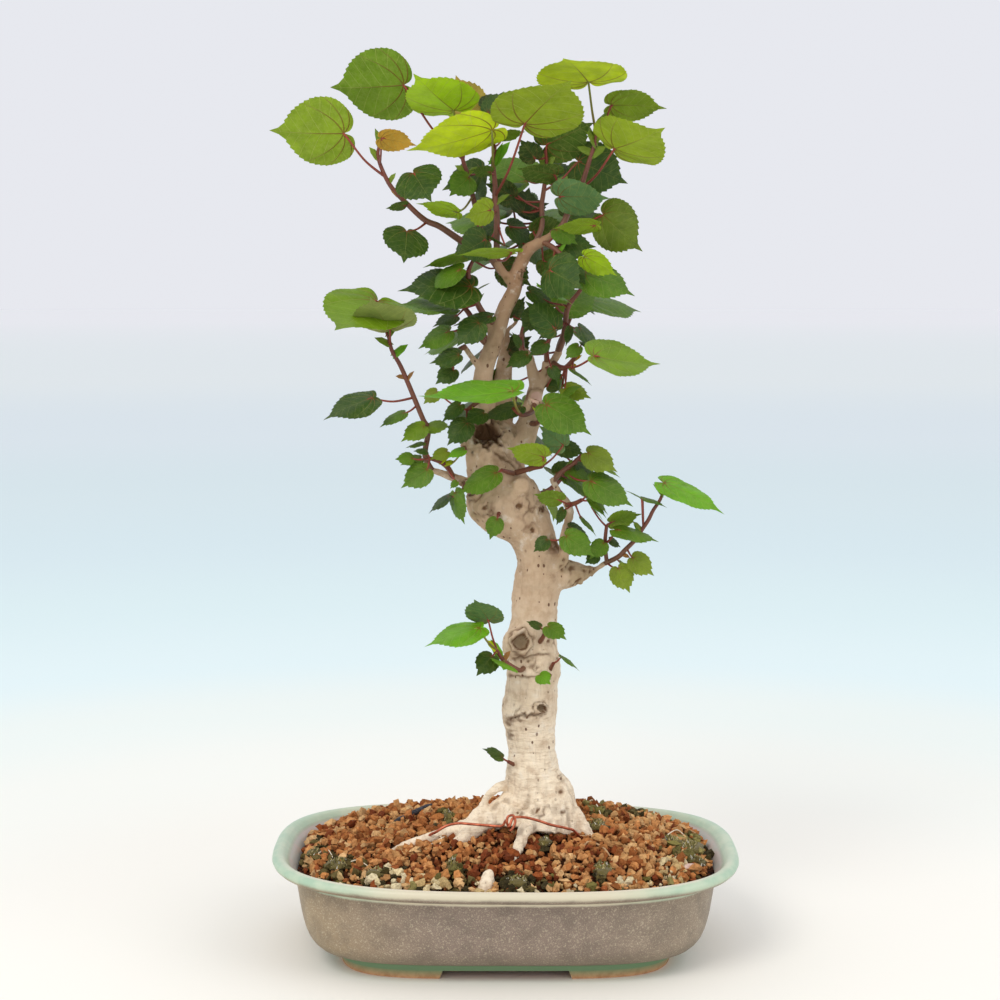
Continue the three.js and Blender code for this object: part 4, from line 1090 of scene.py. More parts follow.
def makeMoss(material):
    bm = bmesh.new()
    tint = bm.loops.layers.float_color.new("tint")
    for across, up, halfWidth, halfDepth, tufts in soilShape["moss"]:
        middle = onSoil(across, up)
        for tuft in range(tufts):
            addTuft(bm, tint, middle, halfWidth, halfDepth)
        # a soft cushion under the tufts
        cushion = bmesh.ops.create_icosphere(bm, subdivisions=3, radius=1)["verts"]
        floor = soilHeight(middle.x, middle.y)[0]
        for vert in cushion:
            swell = 1 + 0.25 * noise.noise(vert.co * 2 + middle)
            vert.co = Vector((middle.x + vert.co.x * halfWidth * swell,
                              middle.y + vert.co.y * halfDepth * soilShape["mossStretch"] * swell,
                              floor + 0.6 + vert.co.z * 2.4 * swell))
        paint(facesOf(cushion), tint, shade(*soilShape["mossFloor"]))
    finishPiece("moss", bm, [material], sharpFrom=60)
    print("moss made")


litter = {
    # fine rootlets: across, up of each point, then radius, lift and whether they are bleached
    "rootlets": [
        [[[49.8, 79.8], [54, 80.6], [61.8, 77.4], [66, 73.2]], 0.75, 1.6, False],
        [[[52.8, 103.8], [55, 105], [58.8, 100.2], [62.4, 91.2]], 0.5, 3.0, True],
        [[[-38, 86], [-35, 82], [-37, 78]], 0.45, 2.2, True],
        [[[-41, 80], [-34.8, 81.5], [-33, 85]], 0.4, 2.4, True],
        [[[-93, 67.8], [-86, 69.5], [-78, 66.6]], 0.45, 1.8, True],
        [[[47, 86], [50, 84], [58, 86]], 0.4, 1.8, False],
        [[[98, 84], [106, 87], [112, 84]], 0.4, 2.4, True],
        [[[110, 90], [116, 86], [121, 84]], 0.4, 2.4, False],
        [[[-110, 74], [-104, 76], [-100, 72]], 0.4, 2.0, True],
    ],
    "bleached": (236, 222, 196),
    "brown": (196, 160, 118),
    "stone": [115.2, 66.5, 5.4],
}


def makeLitter(rootlet, stone):
    bm = bmesh.new()
    tint = bm.loops.layers.float_color.new("tint")
    for points, radius, lift, bleached in litter["rootlets"]:
        rows = []
        for k, (across, up) in enumerate(points):
            arch = math.sin(math.pi * k / (len(points) - 1))
            rows.append((onSoil(across, up) + Vector((0, 0, 0.6 + lift * arch)),
                         radius * (1 - 0.5 * k / len(points))))
        light = shade(*litter["bleached" if bleached else "brown"])
        addTube(bm, smoothPath(rows, 1.2), 8, (light, light), tint)
    finishPiece("rootlets", bm, [rootlet])

    bm = bmesh.new()
    across, up, size = litter["stone"]
    middle = onSoil(across, up)
    for vert in bmesh.ops.create_icosphere(bm, subdivisions=4, radius=1)["verts"]:
        swell = 1 + 0.28 * noise.noise(vert.co * 1.4)
        vert.co = middle + Vector((vert.co.x * size, vert.co.y * size * 0.8, vert.co.z * 2.6)) * swell
    finishPiece("paleStone", bm, [stone])
    print("rootlets and stone made")


# Noises: lumps a metre, detail. Coats: which noise, from, to, strength, colour. Relief: share of each noise,
# depth, strength.
# the bed is dark soil, darker at the edges of its crumbs, and it also stands as painted shade in the gaps
# between the granules
makeSoilBed(plainFinish("crumbled soil", [(260,), (900, 3)], (96, 54, 32),
                        [(0, 0.1, 0.7, 1, (44, 26, 18)), (1, 0.5, 0.8, 0.4, (150, 92, 56))],
                        0.95, ((-1, 1), 0.002, 0.9), gloss=0.1))
clay = plainFinish("fired clay granules", [(500, 4), (1800, 3)], None,
                   [(0, 0.35, 0.7, 0.45, (92, 50, 30), "MULTIPLY"), (1, 0.55, 0.8, 0.35, (224, 178, 128))],
                   0.93, ((1, 0.5), 0.0009, 0.9), gloss=0.15)
for batch in range(4):
    makeGranules(clay, batch)
makeMoss(plainFinish("moss", [(1400, 3)], None, [(0, 0.35, 0.7, 0.6, (66, 58, 32))], 0.9,
                     ((1,), 0.0006, 0.8), gloss=0.2, **{"Sheen Weight": 0.2}))
makeLitter(plainFinish("dry rootlet", [(1300, 3)], None, [(0, 0.4, 0.75, 0.5, (140, 104, 72))], 0.8,
                       ((1,), 0.0004, 0.8)),
           plainFinish("pinkish stone", [(300, 4)], (222, 196, 184),
                       [(0, 0.35, 0.7, 1, (196, 158, 142))], 0.75, ((1,), 0.0008, 0.7)))

# Copper tie wire, charcoal and drain mesh
tieWire = {
    "radius": 0.8,
    "hookRadius": 0.75,
    "sides": 12,
    "copper": (206, 118, 88),
    "tarnish": (150, 78, 58),
    "start": [[-52, 4, 6.4], [-60, 4, 6.3], [-64, 4, 9], [-64, 4, 20], [-56, -8, 45]],
    "front": [
        [-44, 84.5, -22], [-38, 89, -30], [-32, 92.5, -31], [-25, 94, -31], [-17, 93.5, -33],
        [-8, 92.8, -36], [1, 92.4, -39], [3.4, 95.6, -39.6], [5.4, 92, -44], [7.4, 96.6, -42.6],
        [10.4, 97.8, -41], [16, 97.4, -40], [23, 95.6, -38], [31, 93, -35], [40, 91, -29], [46, 88, -24],
    ],
    "end": [[56, -14, 52], [64, 0, 34], [64, 4, 20], [64, 4, 9], [60, 4, 6.3], [52, 4, 6.4]],
    # the short second strand that closes the hook
    "hook": [[5.6, 91.5, -42.5], [4.2, 94.5, -44], [4.8, 98, -43.5], [8, 98.6, -42.5], [9.2, 95, -43.5],
             [7.6, 91, -44.5], [6, 89.4, -44]],
}


def makeWire(material):
    radius = tieWire["radius"]
    rows = [(Vector(place), radius) for place in tieWire["start"]]
    rows += [(seen(*place), radius) for place in tieWire["front"]]
    rows += [(Vector(place), radius) for place in tieWire["end"]]
    hook = [(seen(*place), tieWire["hookRadius"]) for place in tieWire["hook"]]
    bm = bmesh.new()
    addTube(bm, smoothPath(rows, 1.2), tieWire["sides"])
    addTube(bm, smoothPath(hook, 0.8), tieWire["sides"])
    finishPiece("copperTieWire", bm, [material], ["tie_wire"])
    print("tie wire made")


def copperFinish():
    material = newMaterial("aged copper")
    place = objectPlace()
    cloud = grain(place, 260, 4)
    colour = coats(tieWire["copper"], (cloud, 0.35, 0.7, 1, tieWire["tarnish"]))
    relief = bump(grain(place, 2400, 2), 0.0001, 0.5)
    surface(coated(colour, plus(0.3, times(cloud, 0.2)), relief, Metallic=0.85))
    return material


charredStick = {
    # across, up, depth, radius
    "rows": [[-63, 94.5, 10, 1.2], [-60, 96, 13, 1.8], [-56, 98, 17, 2], [-52, 100, 21, 1.7],
             [-48, 101.5, 25, 2], [-44, 103.4, 31, 2], [-41, 104.5, 35, 1.4]],
    "sides": 18,
    "ridges": 0.5,
    "dark": (28, 28, 34),
    "grey": (72, 72, 84),
}


def makeCharcoal(material):
    bm = bmesh.new()
    addTube(bm, drawnPath(charredStick["rows"], 0.8), charredStick["sides"])
    bm.normal_update()
    for vert in bm.verts:
        ridge = noise.noise(Vector((vert.co.x / 3, vert.co.y / 1.2, vert.co.z / 1.2)))
        vert.co += vert.normal * charredStick["ridges"] * ridge
    finishPiece("charredStick", bm, [material], ["charcoal"], sharpFrom=34)
    print("charcoal made")


def charcoalFinish():
    material = newMaterial("charcoal")
    fine = grain(stretched(objectPlace(), (0.3, 1, 1)), 700, 4)
    colour = coats(charredStick["dark"], (fine, 0.4, 0.75, 1, charredStick["grey"]))
    surface(coated(colour, 0.55, bump(fine, 0.0006, 0.9)))
    return material


makeWire(copperFinish())
makeCharcoal(charcoalFinish())
plastic = plainFinish("green plastic mesh", [(900, 3)], (48, 66, 50), [(0, 0.4, 0.7, 1, (66, 84, 62))], 0.55,
                      ((1,), 0.0002, 0.5))
for name in ("drain_mesh_left", "drain_mesh_right"):
    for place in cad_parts[name].material_slots:
        place.material = plastic

# Leafy shoots
# A stem is a list of across, up, depth, radius. A leaf is the place where its stalk meets the blade, the
# tip from there, the roll of the blade about its midrib (0 is level, 90 shows the underside to the front,
# -90 the upper face, and past 90 the blade is cupped upwards), its width over its length and, where the
# stalk is long, the place it grows from. The letters of looks give each leaf its colours.
# the dark looks v and d are painted shade, and the bright underside of b a painted glow
shoots = {
    "top_left": {
        "stems": [[[-2, 431, -10, 2.3], [-14, 438, -12, 2.1], [-24, 444, -14, 2], [-36, 452, -16, 1.8],
        [-45, 456, -16, 1.7], [-55, 465, -16, 1.5], [-66, 477, -16, 1.3], [-73, 493, -15, 1.1],
        [-72, 502, -15, 0.8]]],
        "leaves": [[-94, 508, -22, -45, -1, 0, -123, 1.03, [-70, 482, -16]],
        [-52, 484, -30, 10, -15, -20, -35, 1.03], [-57, 465, -22, -12, -1, -4, 30, 0.9],
        [-56, 449, -28, -1, -17, -21, -19, 1.02, [-43, 455, -16]]],
        "looks": "lddd"},
    "leaf_orange": {
        "leaves": [[-71, 505, -39, 21, -3, 6, 50, 0.75, [-72, 490, -16.5]]],
        "looks": "a"},
    "top_centre_left": {
        "stems": [[[1, 424, -8, 1.9], [-7, 436, -3, 1.8], [-12, 452, -1, 1.6], [-17, 473, -2, 1.5],
        [-20, 485, -2, 1.3], [-22, 491, -2, 1.2], [-24, 502, -4, 1]]],
        "leaves": [[-58, 537, -10, -45, -4, 8, -124, 1.05, [-23, 492, -2]],
        [-28, 522, -12, -24, 18, -36, -167, 0.95, [-24, 500, -4]], [-19, 481, -12, -11, -10, -8, -60, 1],
        [-26, 461, -26, -24, 7, 2, 22, 0.95, [-15, 470, -3]], [-12, 485, 10, -24, -10, 6, -60, 0.95]],
        "looks": "mbmbd"},
    "leaf_bronze": {
        "leaves": [[-19, 521, 10, -8, 23, 8, -50, 1, [-22, 492, -0.5]]],
        "looks": "n"},
    "top_centre": {
        "stems": [[[-2, 436, -11, 2], [-2, 441, -12, 1.9], [-2, 459, -14, 1.8], [-3, 468, -14, 1.7],
        [-3, 477, -14, 1.5], [-4, 489, -14, 1.3], [-3, 500, -12, 1]]],
        "leaves": [[-5, 510, -32, -50, -18, 7, -158, 0.96, [-4, 486, -14]],
        [15, 514, -40, 28, 31, -41, 16, 0.96, [-2, 470, -14]], [-6, 462, -30, -16, -4, -6, 70, 1],
        [-6, 485, -24, -12, 2, -4, 30, 1], [-7, 521, 2, 9, 13, 2, -50, 1],
        [3, 441, -18, -20, 11, 0, 5, 0.5, [-2, 456, -14]], [2, 506, -2, 13, 4, 2, 30, 0.9],
        [-9, 524, 6, 15, 8, 4, -45, 1]],
        "looks": "yoodddmv"},
    "leaf_level": {
        "leaves": [[7, 437, -44, -34, 2, -10, 10, 0.9, [-1, 432, -13.2]]],
        "looks": "l"},
    "top_right": {
        "stems": [[[31, 448, -8, 2], [36, 451, -10, 1.9], [39, 456, -10, 1.8], [43, 466, -10, 1.7],
        [46, 471, -10, 1.6], [50, 480, -10, 1.5], [54, 493, -10, 1.3], [57, 502, -10, 1.1],
        [58, 510, -10, 0.9]]],
        "leaves": [[53, 539, -20, -15, 20, -43, 5, 1.07, [57, 508, -10]],
        [67, 525, -10, 33, 1, 0, 37, 0.89, [58, 506, -10]],
        [69, 499, -28, 28, 8, -36, -146, 1, [47, 473, -10]], [36, 470, -22, 31, 1, -12, 50, 0.85],
        [62, 459, -24, 22, -22, -14, -90, 0.93, [37, 452, -10]],
        [57, 453, -38, -26, 0, 1, 21, 0.94, [36, 451, -10]],
        [33, 483, -26, -23, 6, -10, 26, 0.94, [41, 462, -10]]],
        "looks": "yloghld"},
    "top_middle": {
        "stems": [[[20, 440, -6, 1.7], [25, 452, -2, 1.6], [25, 465, 0, 1.5], [26, 472, 0, 1.4],
        [28, 489, 0, 1.1], [27, 498, 0, 0.8]]],
        "leaves": [[47, 491, -2, 30, -13, -1, -90, 0.97, [26, 474, 0]],
        [28, 501, -2, 29, 15, -12, 60, 0.9, [28, 486, 0]], [29, 485, 6, 15, 5, 4, -40, 0.9],
        [21, 493, -6, -9, 12, -4, 50, 1], [14, 461, 4, 4, 15, 4, -60, 1.2],
        [5, 476, 6, 11, 3, 2, -20, 0.9, [25, 462, 0]], [46, 503, 10, 7, 4, -4, 20, 0.8, [28, 482, 0]],
        [16, 480, 22, -24, 14, 18, -40, 0.95], [34, 478, 20, 26, 12, 18, -30, 0.95],
        [8, 470, 6, -16, 9, 6, 60, 1], [6, 452, 16, 17, -9, 6, -55, 0.95],
        [12, 462, 14, 18, 6, 8, -45, 0.95]],
        "looks": "dddvvdymmvdv"},
    "upper_left": {
        "stems": [[[-1, 392, -9, 2.2], [-10, 400, -14, 1.9], [-16, 412, -18, 1.7], [-19, 424, -20, 1.4],
        [-16, 432, -20, 1]]],
        "leaves": [[-20, 435, -22, -27, -5, -2, 16, 0.94], [-24, 426, -32, -22, -10, 2, -33, 0.94],
        [-18, 416, -28, -43, 2, -10, -34, 0.95], [-29, 404, -26, -31, 5, -8, -20, 0.8, [-13, 406, -16]],
        [-9, 444, -28, -16, -9, -14, -82, 0.9], [-7, 435, -18, -14, 9, -2, -48, 0.8],
        [2, 428, 10, 17, -11, 4, 62, 1], [-12, 468, 0, 0, 14, 4, -60, 1],
        [-2, 452, 12, -17, -6, 6, -50, 0.95], [-14, 446, 8, -16, -11, 6, -55, 0.95]],
        "looks": "mmdmddvddd"},
    "upper_right": {
        "stems": [[[25, 443, -8, 1.8], [31, 440, -14, 1.6], [36, 436, -18, 1.5], [41, 432, -20, 1.3],
        [46, 431, -21, 1]]],
        "leaves": [[36, 441, -9, 22, 0, -2, -57, 0.94], [51, 434, -34, 20, -10, 1, 39, 0.93],
        [51, 424, -22, 31, -11, -4, -39, 0.95], [43, 427, -26, 9, -9, -4, -40, 0.9],
        [30, 426, -32, 19, -11, -12, -78, 1.15, [33, 438, -16]], [20, 449, 2, 20, 5, 4, 55, 0.95],
        [26, 432, 2, 19, -8, 4, 60, 0.95], [34, 450, -12, 13, -8, -4, -50, 0.9],
        [14, 442, 16, 17, -12, 8, -50, 0.95], [40, 458, 12, 20, 4, 10, -40, 0.95]],
        "looks": "dbmddddmdd"},
    "right_rising": {
        "stems": [[[35, 377, 8, 2.1], [38, 385, 4, 1.9], [39, 393, 2, 1.7], [40, 401, 0, 1.6],
        [42, 406, -2, 1.5], [46, 411, -4, 1.3], [51, 418, -6, 1]]],
        "leaves": [[25, 416, -14, 22, -10, 1, -9, 0.95], [18, 413, -4, 16, -7, 2, -40, 0.9],
        [33, 391, -14, -17, 17, -4, -70, 0.85], [53, 424, -2, 12, -10, 0, -50, 0.8],
        [48, 391, -12, 14, -14, 0, -26, 0.94], [42, 391, -10, -2, -11, -2, -80, 0.6],
        [34, 404, 16, 26, 10, 12, -34, 0.95], [8, 398, 8, 6, 13, 2, 55, 1], [19, 397, 6, 11, 11, 2, -45, 1],
        [6, 378, 10, 13, 9, 2, -60, 0.95]],
        "looks": "bddbddmvdv"},
    "inner_left": {
        "stems": [[[-6, 380, -8, 2], [-13, 387, -12, 1.8], [-18, 399, -12, 1.6], [-24, 406, -10, 1.2]]],
        "leaves": [[-31, 389, -24, -19, -9, -1, -37, 0.94], [-13, 394, -32, -13, -13, -6, -50, 0.95],
        [-27, 398, -12, -14, -5, -4, -30, 0.85], [-6, 398, -24, -23, -4, -2, -28, 0.7]],
        "looks": "mddd"},
    "inner_low_left": {
        "stems": [[[-21, 380, -16, 1.6], [-26, 377, -22, 1.4], [-29, 372, -26, 1]]],
        "leaves": [[-25, 375, -32, -18, -4, 1, -39, 0.96], [-28, 366, -24, -11, -8, -4, -50, 0.95]],
        "looks": "dd"},
    "inner_right": {
        "stems": [[[13, 379, 2, 1.9], [13, 386, -2, 1.6], [15, 394, -4, 1.3], [19, 400, -4, 1]]],
        "leaves": [[22, 401, -8, -8, -13, -4, -64, 0.9], [12, 381, -14, -4, 8, -2, -60, 0.9],
        [16, 375, -16, -13, -7, -4, -40, 0.85]],
        "looks": "ddd"},
    "long_left": {
        "stems": [[[-41, 306, -10, 1.8], [-45, 315, -12, 1.7], [-43, 330, -14, 1.6], [-46, 336, -14, 1.5],
        [-51, 348, -15, 1.5], [-56, 360, -16, 1.4], [-60, 369, -16, 1.3], [-65, 378, -16, 1.2],
        [-67, 387, -16, 1]]],
        "leaves": [[-74, 407, -14, -26, -23, -42, 159, 0.93, [-66, 384, -16]],
        [-66, 391, -24, -12, 15, -32, -173, 1.01, [-66, 381, -16]],
        [-77, 349, -26, -30, -10, -9, -24, 0.93, [-52, 349, -15]], [-58, 340, -22, -15, -7, -4, -20, 0.8],
        [-46, 332, -22, -14, -8, -4, -40, 0.9], [-43, 332, -16, 14, 1, -4, -30, 1],
        [-46, 322, -20, -11, -2, -2, -20, 0.6]],
        "looks": "lpdmllm"},
    "lower_left": {
        "stems": [[[-28, 301, -8, 1.8], [-31, 307, -16, 1.6], [-36, 311, -22, 1.4], [-42, 313, -26, 1.1]]],
        "leaves": [[-53, 313, -28, -10, 0, -2, -50, 1], [-44, 306, -30, -16, -10, -4, -47, 0.93],
        [-44, 317, -28, -8, 1, -2, -30, 0.9], [-32, 317, -24, -10, -4, -4, -40, 0.9],
        [-22, 318, -26, -10, -4, -4, -30, 0.8, [-31, 308, -17]], [-26, 299, -26, -4, -4, -2, -50, 0.8],
        [-48, 313, -18, -12, -3, -4, -30, 0.9]],
        "looks": "mmdobmm"},
    "hanging_left": {
        "stems": [[[-20, 299, -8, 1.6], [-22, 294, -16, 1.4], [-25, 291, -22, 1.1]]],
        "leaves": [[-27, 292, -20, 4, -19, -6, -90, 0.94], [-31, 290, -16, -13, -9, -1, -15, 0.95]],
        "looks": "md"},
    "front_level": {
        "stems": [[[21, 347, -8, 1.8], [19, 341, -18, 1.5], [13, 339, -28, 1.3], [8, 343, -36, 1.1]]],
        "leaves": [[7, 353, -46, -56, -8, 0, 167, 0.87, [12, 338, -29]],
        [11, 344, -22, -23, -6, -5, -20, 0.94]],
        "looks": "bd"},
    "front_small": {
        "stems": [[[-12, 348, -12, 1.6], [-16, 345, -18, 1.4], [-20, 342, -22, 1.1]]],
        "leaves": [[-38, 353, -26, -8, -7, -4, -50, 0.9], [-10, 340, -26, -11, -5, -8, -40, 0.9],
        [-24, 345, -26, -11, -10, -4, -60, 0.6], [-20, 334, -28, -12, -13, -4, -56, 0.9]],
        "looks": "oddd"},
    "middle_right": {
        "stems": [[[32, 370, 6, 1.8], [38, 367, -2, 1.6], [43, 371, -8, 1.4], [47, 377, -12, 1.2]]],
        "leaves": [[57, 374, -34, 38, -8, 11, 148, 0.94, [34, 368, 4]], [49, 382, -12, 11, -4, 2, -20, 0.7],
        [47, 380, -14, -8, -7, -4, -50, 0.8], [43, 366, -16, 13, -8, -4, -6, 0.5],
        [39, 355, -12, 16, -5, -4, -40, 0.9], [36, 360, -8, 0, -8, -4, -70, 1],
        [40, 346, -8, 10, -8, -2, -30, 0.7], [28, 356, 6, 9, 12, 4, -50, 1],
        [36, 350, -16, 13, 8, -4, -30, 0.8], [-8, 356, 10, 6, 13, 2, 50, 1]],
        "looks": "lmmmomddmv"},
    "middle": {
        "stems": [[[28, 372, 6, 1.7], [28, 379, -4, 1.5], [30, 386, -10, 1.2]]],
        "leaves": [[32, 392, -4, -10, -7, 2, -40, 0.9], [27, 382, -16, -10, -7, -4, -40, 0.9],
        [31, 367, -14, 4, -8, -4, -50, 0.8]],
        "looks": "ddd"},
    "stump_shoot": {
        "stems": [[[18, 334, -10, 1.8], [22, 334, -20, 1.5], [25, 338, -28, 1.2]]],
        "leaves": [[28, 345, -34, 28, -16, -6, -44, 0.9], [37, 335, -24, 6, -8, -2, -30, 0.7]],
        "looks": "md"},
    "low_front_right": {
        "stems": [[[5, 303, -8, 1.9], [19, 307, -19, 1.5], [25, 308, -27, 1.2]]],
        "leaves": [[38, 321, -32, -14, 12, 5, 78, 0.95], [26, 314, -36, -22, 7, -3, 43, 0.94],
        [28, 316, -26, 5, 5, -2, 40, 0.8]],
        "looks": "glm"},
    "front_hanging": {
        "stems": [[[8, 304, -14, 1.5], [4, 305, -22, 1.3], [1, 306, -27, 1]]],
        "leaves": [[-3, 304, -30, -23, -11, -2, -33, 0.92]],
        "looks": "m"},
    "right_spray": {
        "stems": [[[32, 299, -14, 1.7], [35, 303, -14, 1.6], [40, 307, -15, 1.5], [45, 311, -16, 1.3],
        [49, 315, -17, 1]]],
        "leaves": [[53, 316, -22, 18, -10, -5, -44, 0.92], [46, 310, -10, 13, -6, 2, -40, 0.9],
        [58, 309, -18, 15, -6, -2, -12, 0.5, [47, 313, -16]],
        [55, 299, -26, 26, -13, -4, -35, 0.92, [38, 305, -15]], [41, 301, -8, 23, -12, 4, -30, 0.7],
        [36, 320, -10, 15, -4, -6, -40, 0.9], [42, 306, -14, 13, -7, -6, -30, 0.85],
        [34, 304, -4, 12, 7, 4, -55, 0.9]],
        "looks": "odlmmdmd"},
    "right_drooping": {
        "stems": [[[40, 285, -15, 1.6], [45, 286, -20, 1.4], [49, 288, -24, 1.2]]],
        "leaves": [[53, 292, -26, 13, -12, -4, -14, 0.6], [54, 288, -28, 11, -10, -4, -10, 0.6],
        [36, 288, -26, -16, 5, -6, 46, 0.8], [38, 282, -24, -5, -9, 2, -60, 0.8],
        [49, 277, -20, 10, -10, -2, -12, 0.5]],
        "looks": "lmmdm"},
    "shoulder_low": {
        "stems": [[[39, 264, -15, 1.6], [41, 266, -22, 1.3], [43, 268, -27, 1]]],
        "leaves": [[40, 266, -32, 17, -11, -5, -52, 0.86], [42, 271, -22, 14, -8, 2, -40, 0.9],
        [28, 264, -26, -8, -7, -2, -60, 0.9]],
        "looks": "mdd"},
    "long_right": {
        "stems": [[[63, 250, -5, 1.5], [71, 254, -8, 1.5], [75, 258, -9, 1.4], [82, 265, -10, 1.3],
        [85, 270, -10, 1.2], [89, 276, -10, 1.2], [92, 282, -10, 1.1], [96, 288, -10, 1],
        [99, 296, -10, 0.8]],
        [[64, 251, -6, 1.3], [63, 262, -10, 1.2], [64, 273, -12, 1]]],
        "leaves": [[99, 298, -12, 37, -15, -8, -24, 0.62], [85, 289, -18, -10, 6, 4, 10, 0.5, [86, 271, -10]],
        [86, 289, -12, 15, -4, -2, -10, 0.6, [86, 271, -10]], [80, 253, -14, 13, -10, -2, -60, 0.9],
        [71, 247, -14, 7, -15, -2, -76, 0.9, [64, 251, -5]], [58, 255, -14, -7, -5, -2, -60, 1],
        [62, 262, -16, -8, -9, -4, -60, 0.9], [66, 264, -6, 7, -4, 2, -50, 0.8],
        [72, 251, -4, 7, -4, 2, -20, 0.8], [67, 275, -12, 18, 6, 2, 45, 0.95],
        [70, 270, -20, 26, -5, -4, -12, 0.94, [65, 262, -10]],
        [55, 284, -14, 8, -8, 2, -14, 0.5, [64, 272, -12]]],
        "looks": "bmmoodmdlmmm"},
    "low_left_sprout": {
        "stems": [[[14, 187, -15, 1.6], [11, 186, -22, 1.4], [2, 192, -26, 1.3], [-2, 198, -28, 1.1]]],
        "leaves": [[-13, 211, -34, -33, -8, -9, -13, 0.92], [-7, 216, -26, -8, 15, -15, 8, 0.97],
        [-5, 194, -32, -9, -11, -8, -43, 0.95], [3, 190, -32, 0, -2, -19, -27, 0.95]],
        "looks": "bgdb"},
    "low_right_sprout": {
        "stems": [[[24, 203, -14, 1.5], [26, 206, -20, 1.3], [27, 209, -23, 1]]],
        "leaves": [[24, 212, -24, -8, 4, 1, -26, 0.95], [29, 212, -26, 11, -7, -7, -34, 0.93]],
        "looks": "dm"},
    "bud_leaf_upper": {
        "stems": [[[30, 186, -12, 1.3], [32, 190, -17, 1.1]]],
        "leaves": [[37, 194, -20, 12, -8, -2, -6, 0.5]],
        "looks": "m"},
    "bud_leaf_lower": {
        "stems": [[[28, 180, -12, 1.3], [30, 183, -18, 1.1]]],
        "leaves": [[24, 183, -20, 6, -5, -8, -40, 0.95]],
        "looks": "b"},
    "bud_leaf_base": {
        "stems": [[[9, 129, -8, 1.3], [5, 131, -13, 1.1]]],
        "leaves": [[1, 134, -15, -11, 6, -2, -25, 0.95]],
        "looks": "d"},
    "bud_leaf_fork": {
        "stems": [[[0, 282, -16, 1.4], [-1, 279, -22, 1.1]]],
        "leaves": [[-2, 276, -24, -4, -12, -2, -70, 0.9]],
        "looks": "m"},
    "back_upper": {
        "stems": [[[10, 426, -6, 1.9], [12, 430, 4, 1.7], [12, 434, 16, 1.6], [12, 444, 26, 1.4],
        [10, 454, 32, 1.1]]],
        "leaves": [[-4, 456, 28, -30, 2, 18, -30, 0.95], [8, 462, 38, -10, 12, 34, -24, 0.95],
        [24, 456, 34, 34, 6, 12, -20, 0.95], [22, 440, 30, 24, -6, 24, -38, 0.9],
        [2, 438, 28, -26, -10, 22, -30, 0.9]],
        "looks": "mdmdm"},
    "back_left": {
        "stems": [[[2, 374, 15, 1.9], [-4, 380, 24, 1.7], [-12, 390, 30, 1.5], [-20, 402, 34, 1.2]]],
        "leaves": [[-28, 408, 36, -34, 0, 14, -24, 0.95], [-18, 412, 52, -10, -4, 34, -30, 0.95],
        [-22, 388, 38, -26, -10, 18, -30, 0.9], [-4, 394, 36, 8, -2, 30, -30, 0.9],
        [-12, 376, 34, -14, -10, 20, -40, 0.85]],
        "looks": "mdmdd"},
    "back_right": {
        "stems": [[[34, 374, 11, 1.8], [36, 382, 20, 1.7], [40, 392, 28, 1.4], [44, 402, 32, 1.2]]],
        "leaves": [[52, 408, 34, 34, -4, 16, -24, 0.95], [40, 410, 42, 12, -2, 34, -30, 0.95],
        [46, 388, 36, 24, -12, 22, -30, 0.9], [30, 386, 34, -10, -8, 20, -40, 0.9]],
        "looks": "mdmd"},
    "back_middle": {
        "stems": [[[0, 320, 10, 2.1], [4, 325, 26, 1.7], [6, 334, 36, 1.5], [8, 344, 40, 1.2]]],
        "leaves": [[-6, 346, 42, -30, -4, 18, -24, 0.95], [10, 350, 56, 4, -4, 34, -30, 0.95],
        [20, 344, 42, 30, -8, 16, -30, 0.95], [-2, 328, 40, -20, -12, 14, -40, 0.85],
        [16, 328, 38, 18, -12, 16, -40, 0.85]],
        "looks": "dmmdd"},
    "back_low": {
        "stems": [[[14, 289, 6, 2], [28, 293, 20, 1.7], [36, 300, 28, 1.3]]],
        "leaves": [[44, 302, 30, 30, -8, 14, -30, 0.95], [34, 304, 34, 6, -4, 28, -30, 0.9],
        [30, 290, 32, 4, -14, 16, -50, 0.85]],
        "looks": "mdm"},
}
leafColours = {
    # upper face, underside. Besides the leaves' own tones, the greens carry painted light: the dark v and d
    # are painted shade for leaves deep in the crown, and the bright undersides, most of all b, a painted glow
    # of light through the blade
    "v": [(34, 62, 12), (46, 76, 20)],
    "d": [(52, 88, 18), (76, 106, 28)],
    "m": [(96, 138, 26), (132, 166, 38)],
    "l": [(128, 164, 30), (156, 182, 38)],
    "y": [(226, 240, 28), (234, 246, 40)],
    "b": [(116, 182, 32), (204, 236, 36)],
    "o": [(138, 158, 40), (176, 196, 46)],
    "p": [(176, 184, 108), (176, 186, 108)],
    "h": [(106, 126, 30), (116, 132, 36)],
    "g": [(88, 136, 82), (112, 150, 96)],
    "n": [(178, 150, 50), (188, 162, 58)],
    "a": [(212, 154, 46), (220, 164, 54)],
    "s": [(142, 168, 54), (150, 176, 62)],
    "k": [(200, 134, 82), (206, 142, 90)],
    "w": [(230, 182, 40), (230, 186, 50)],
}

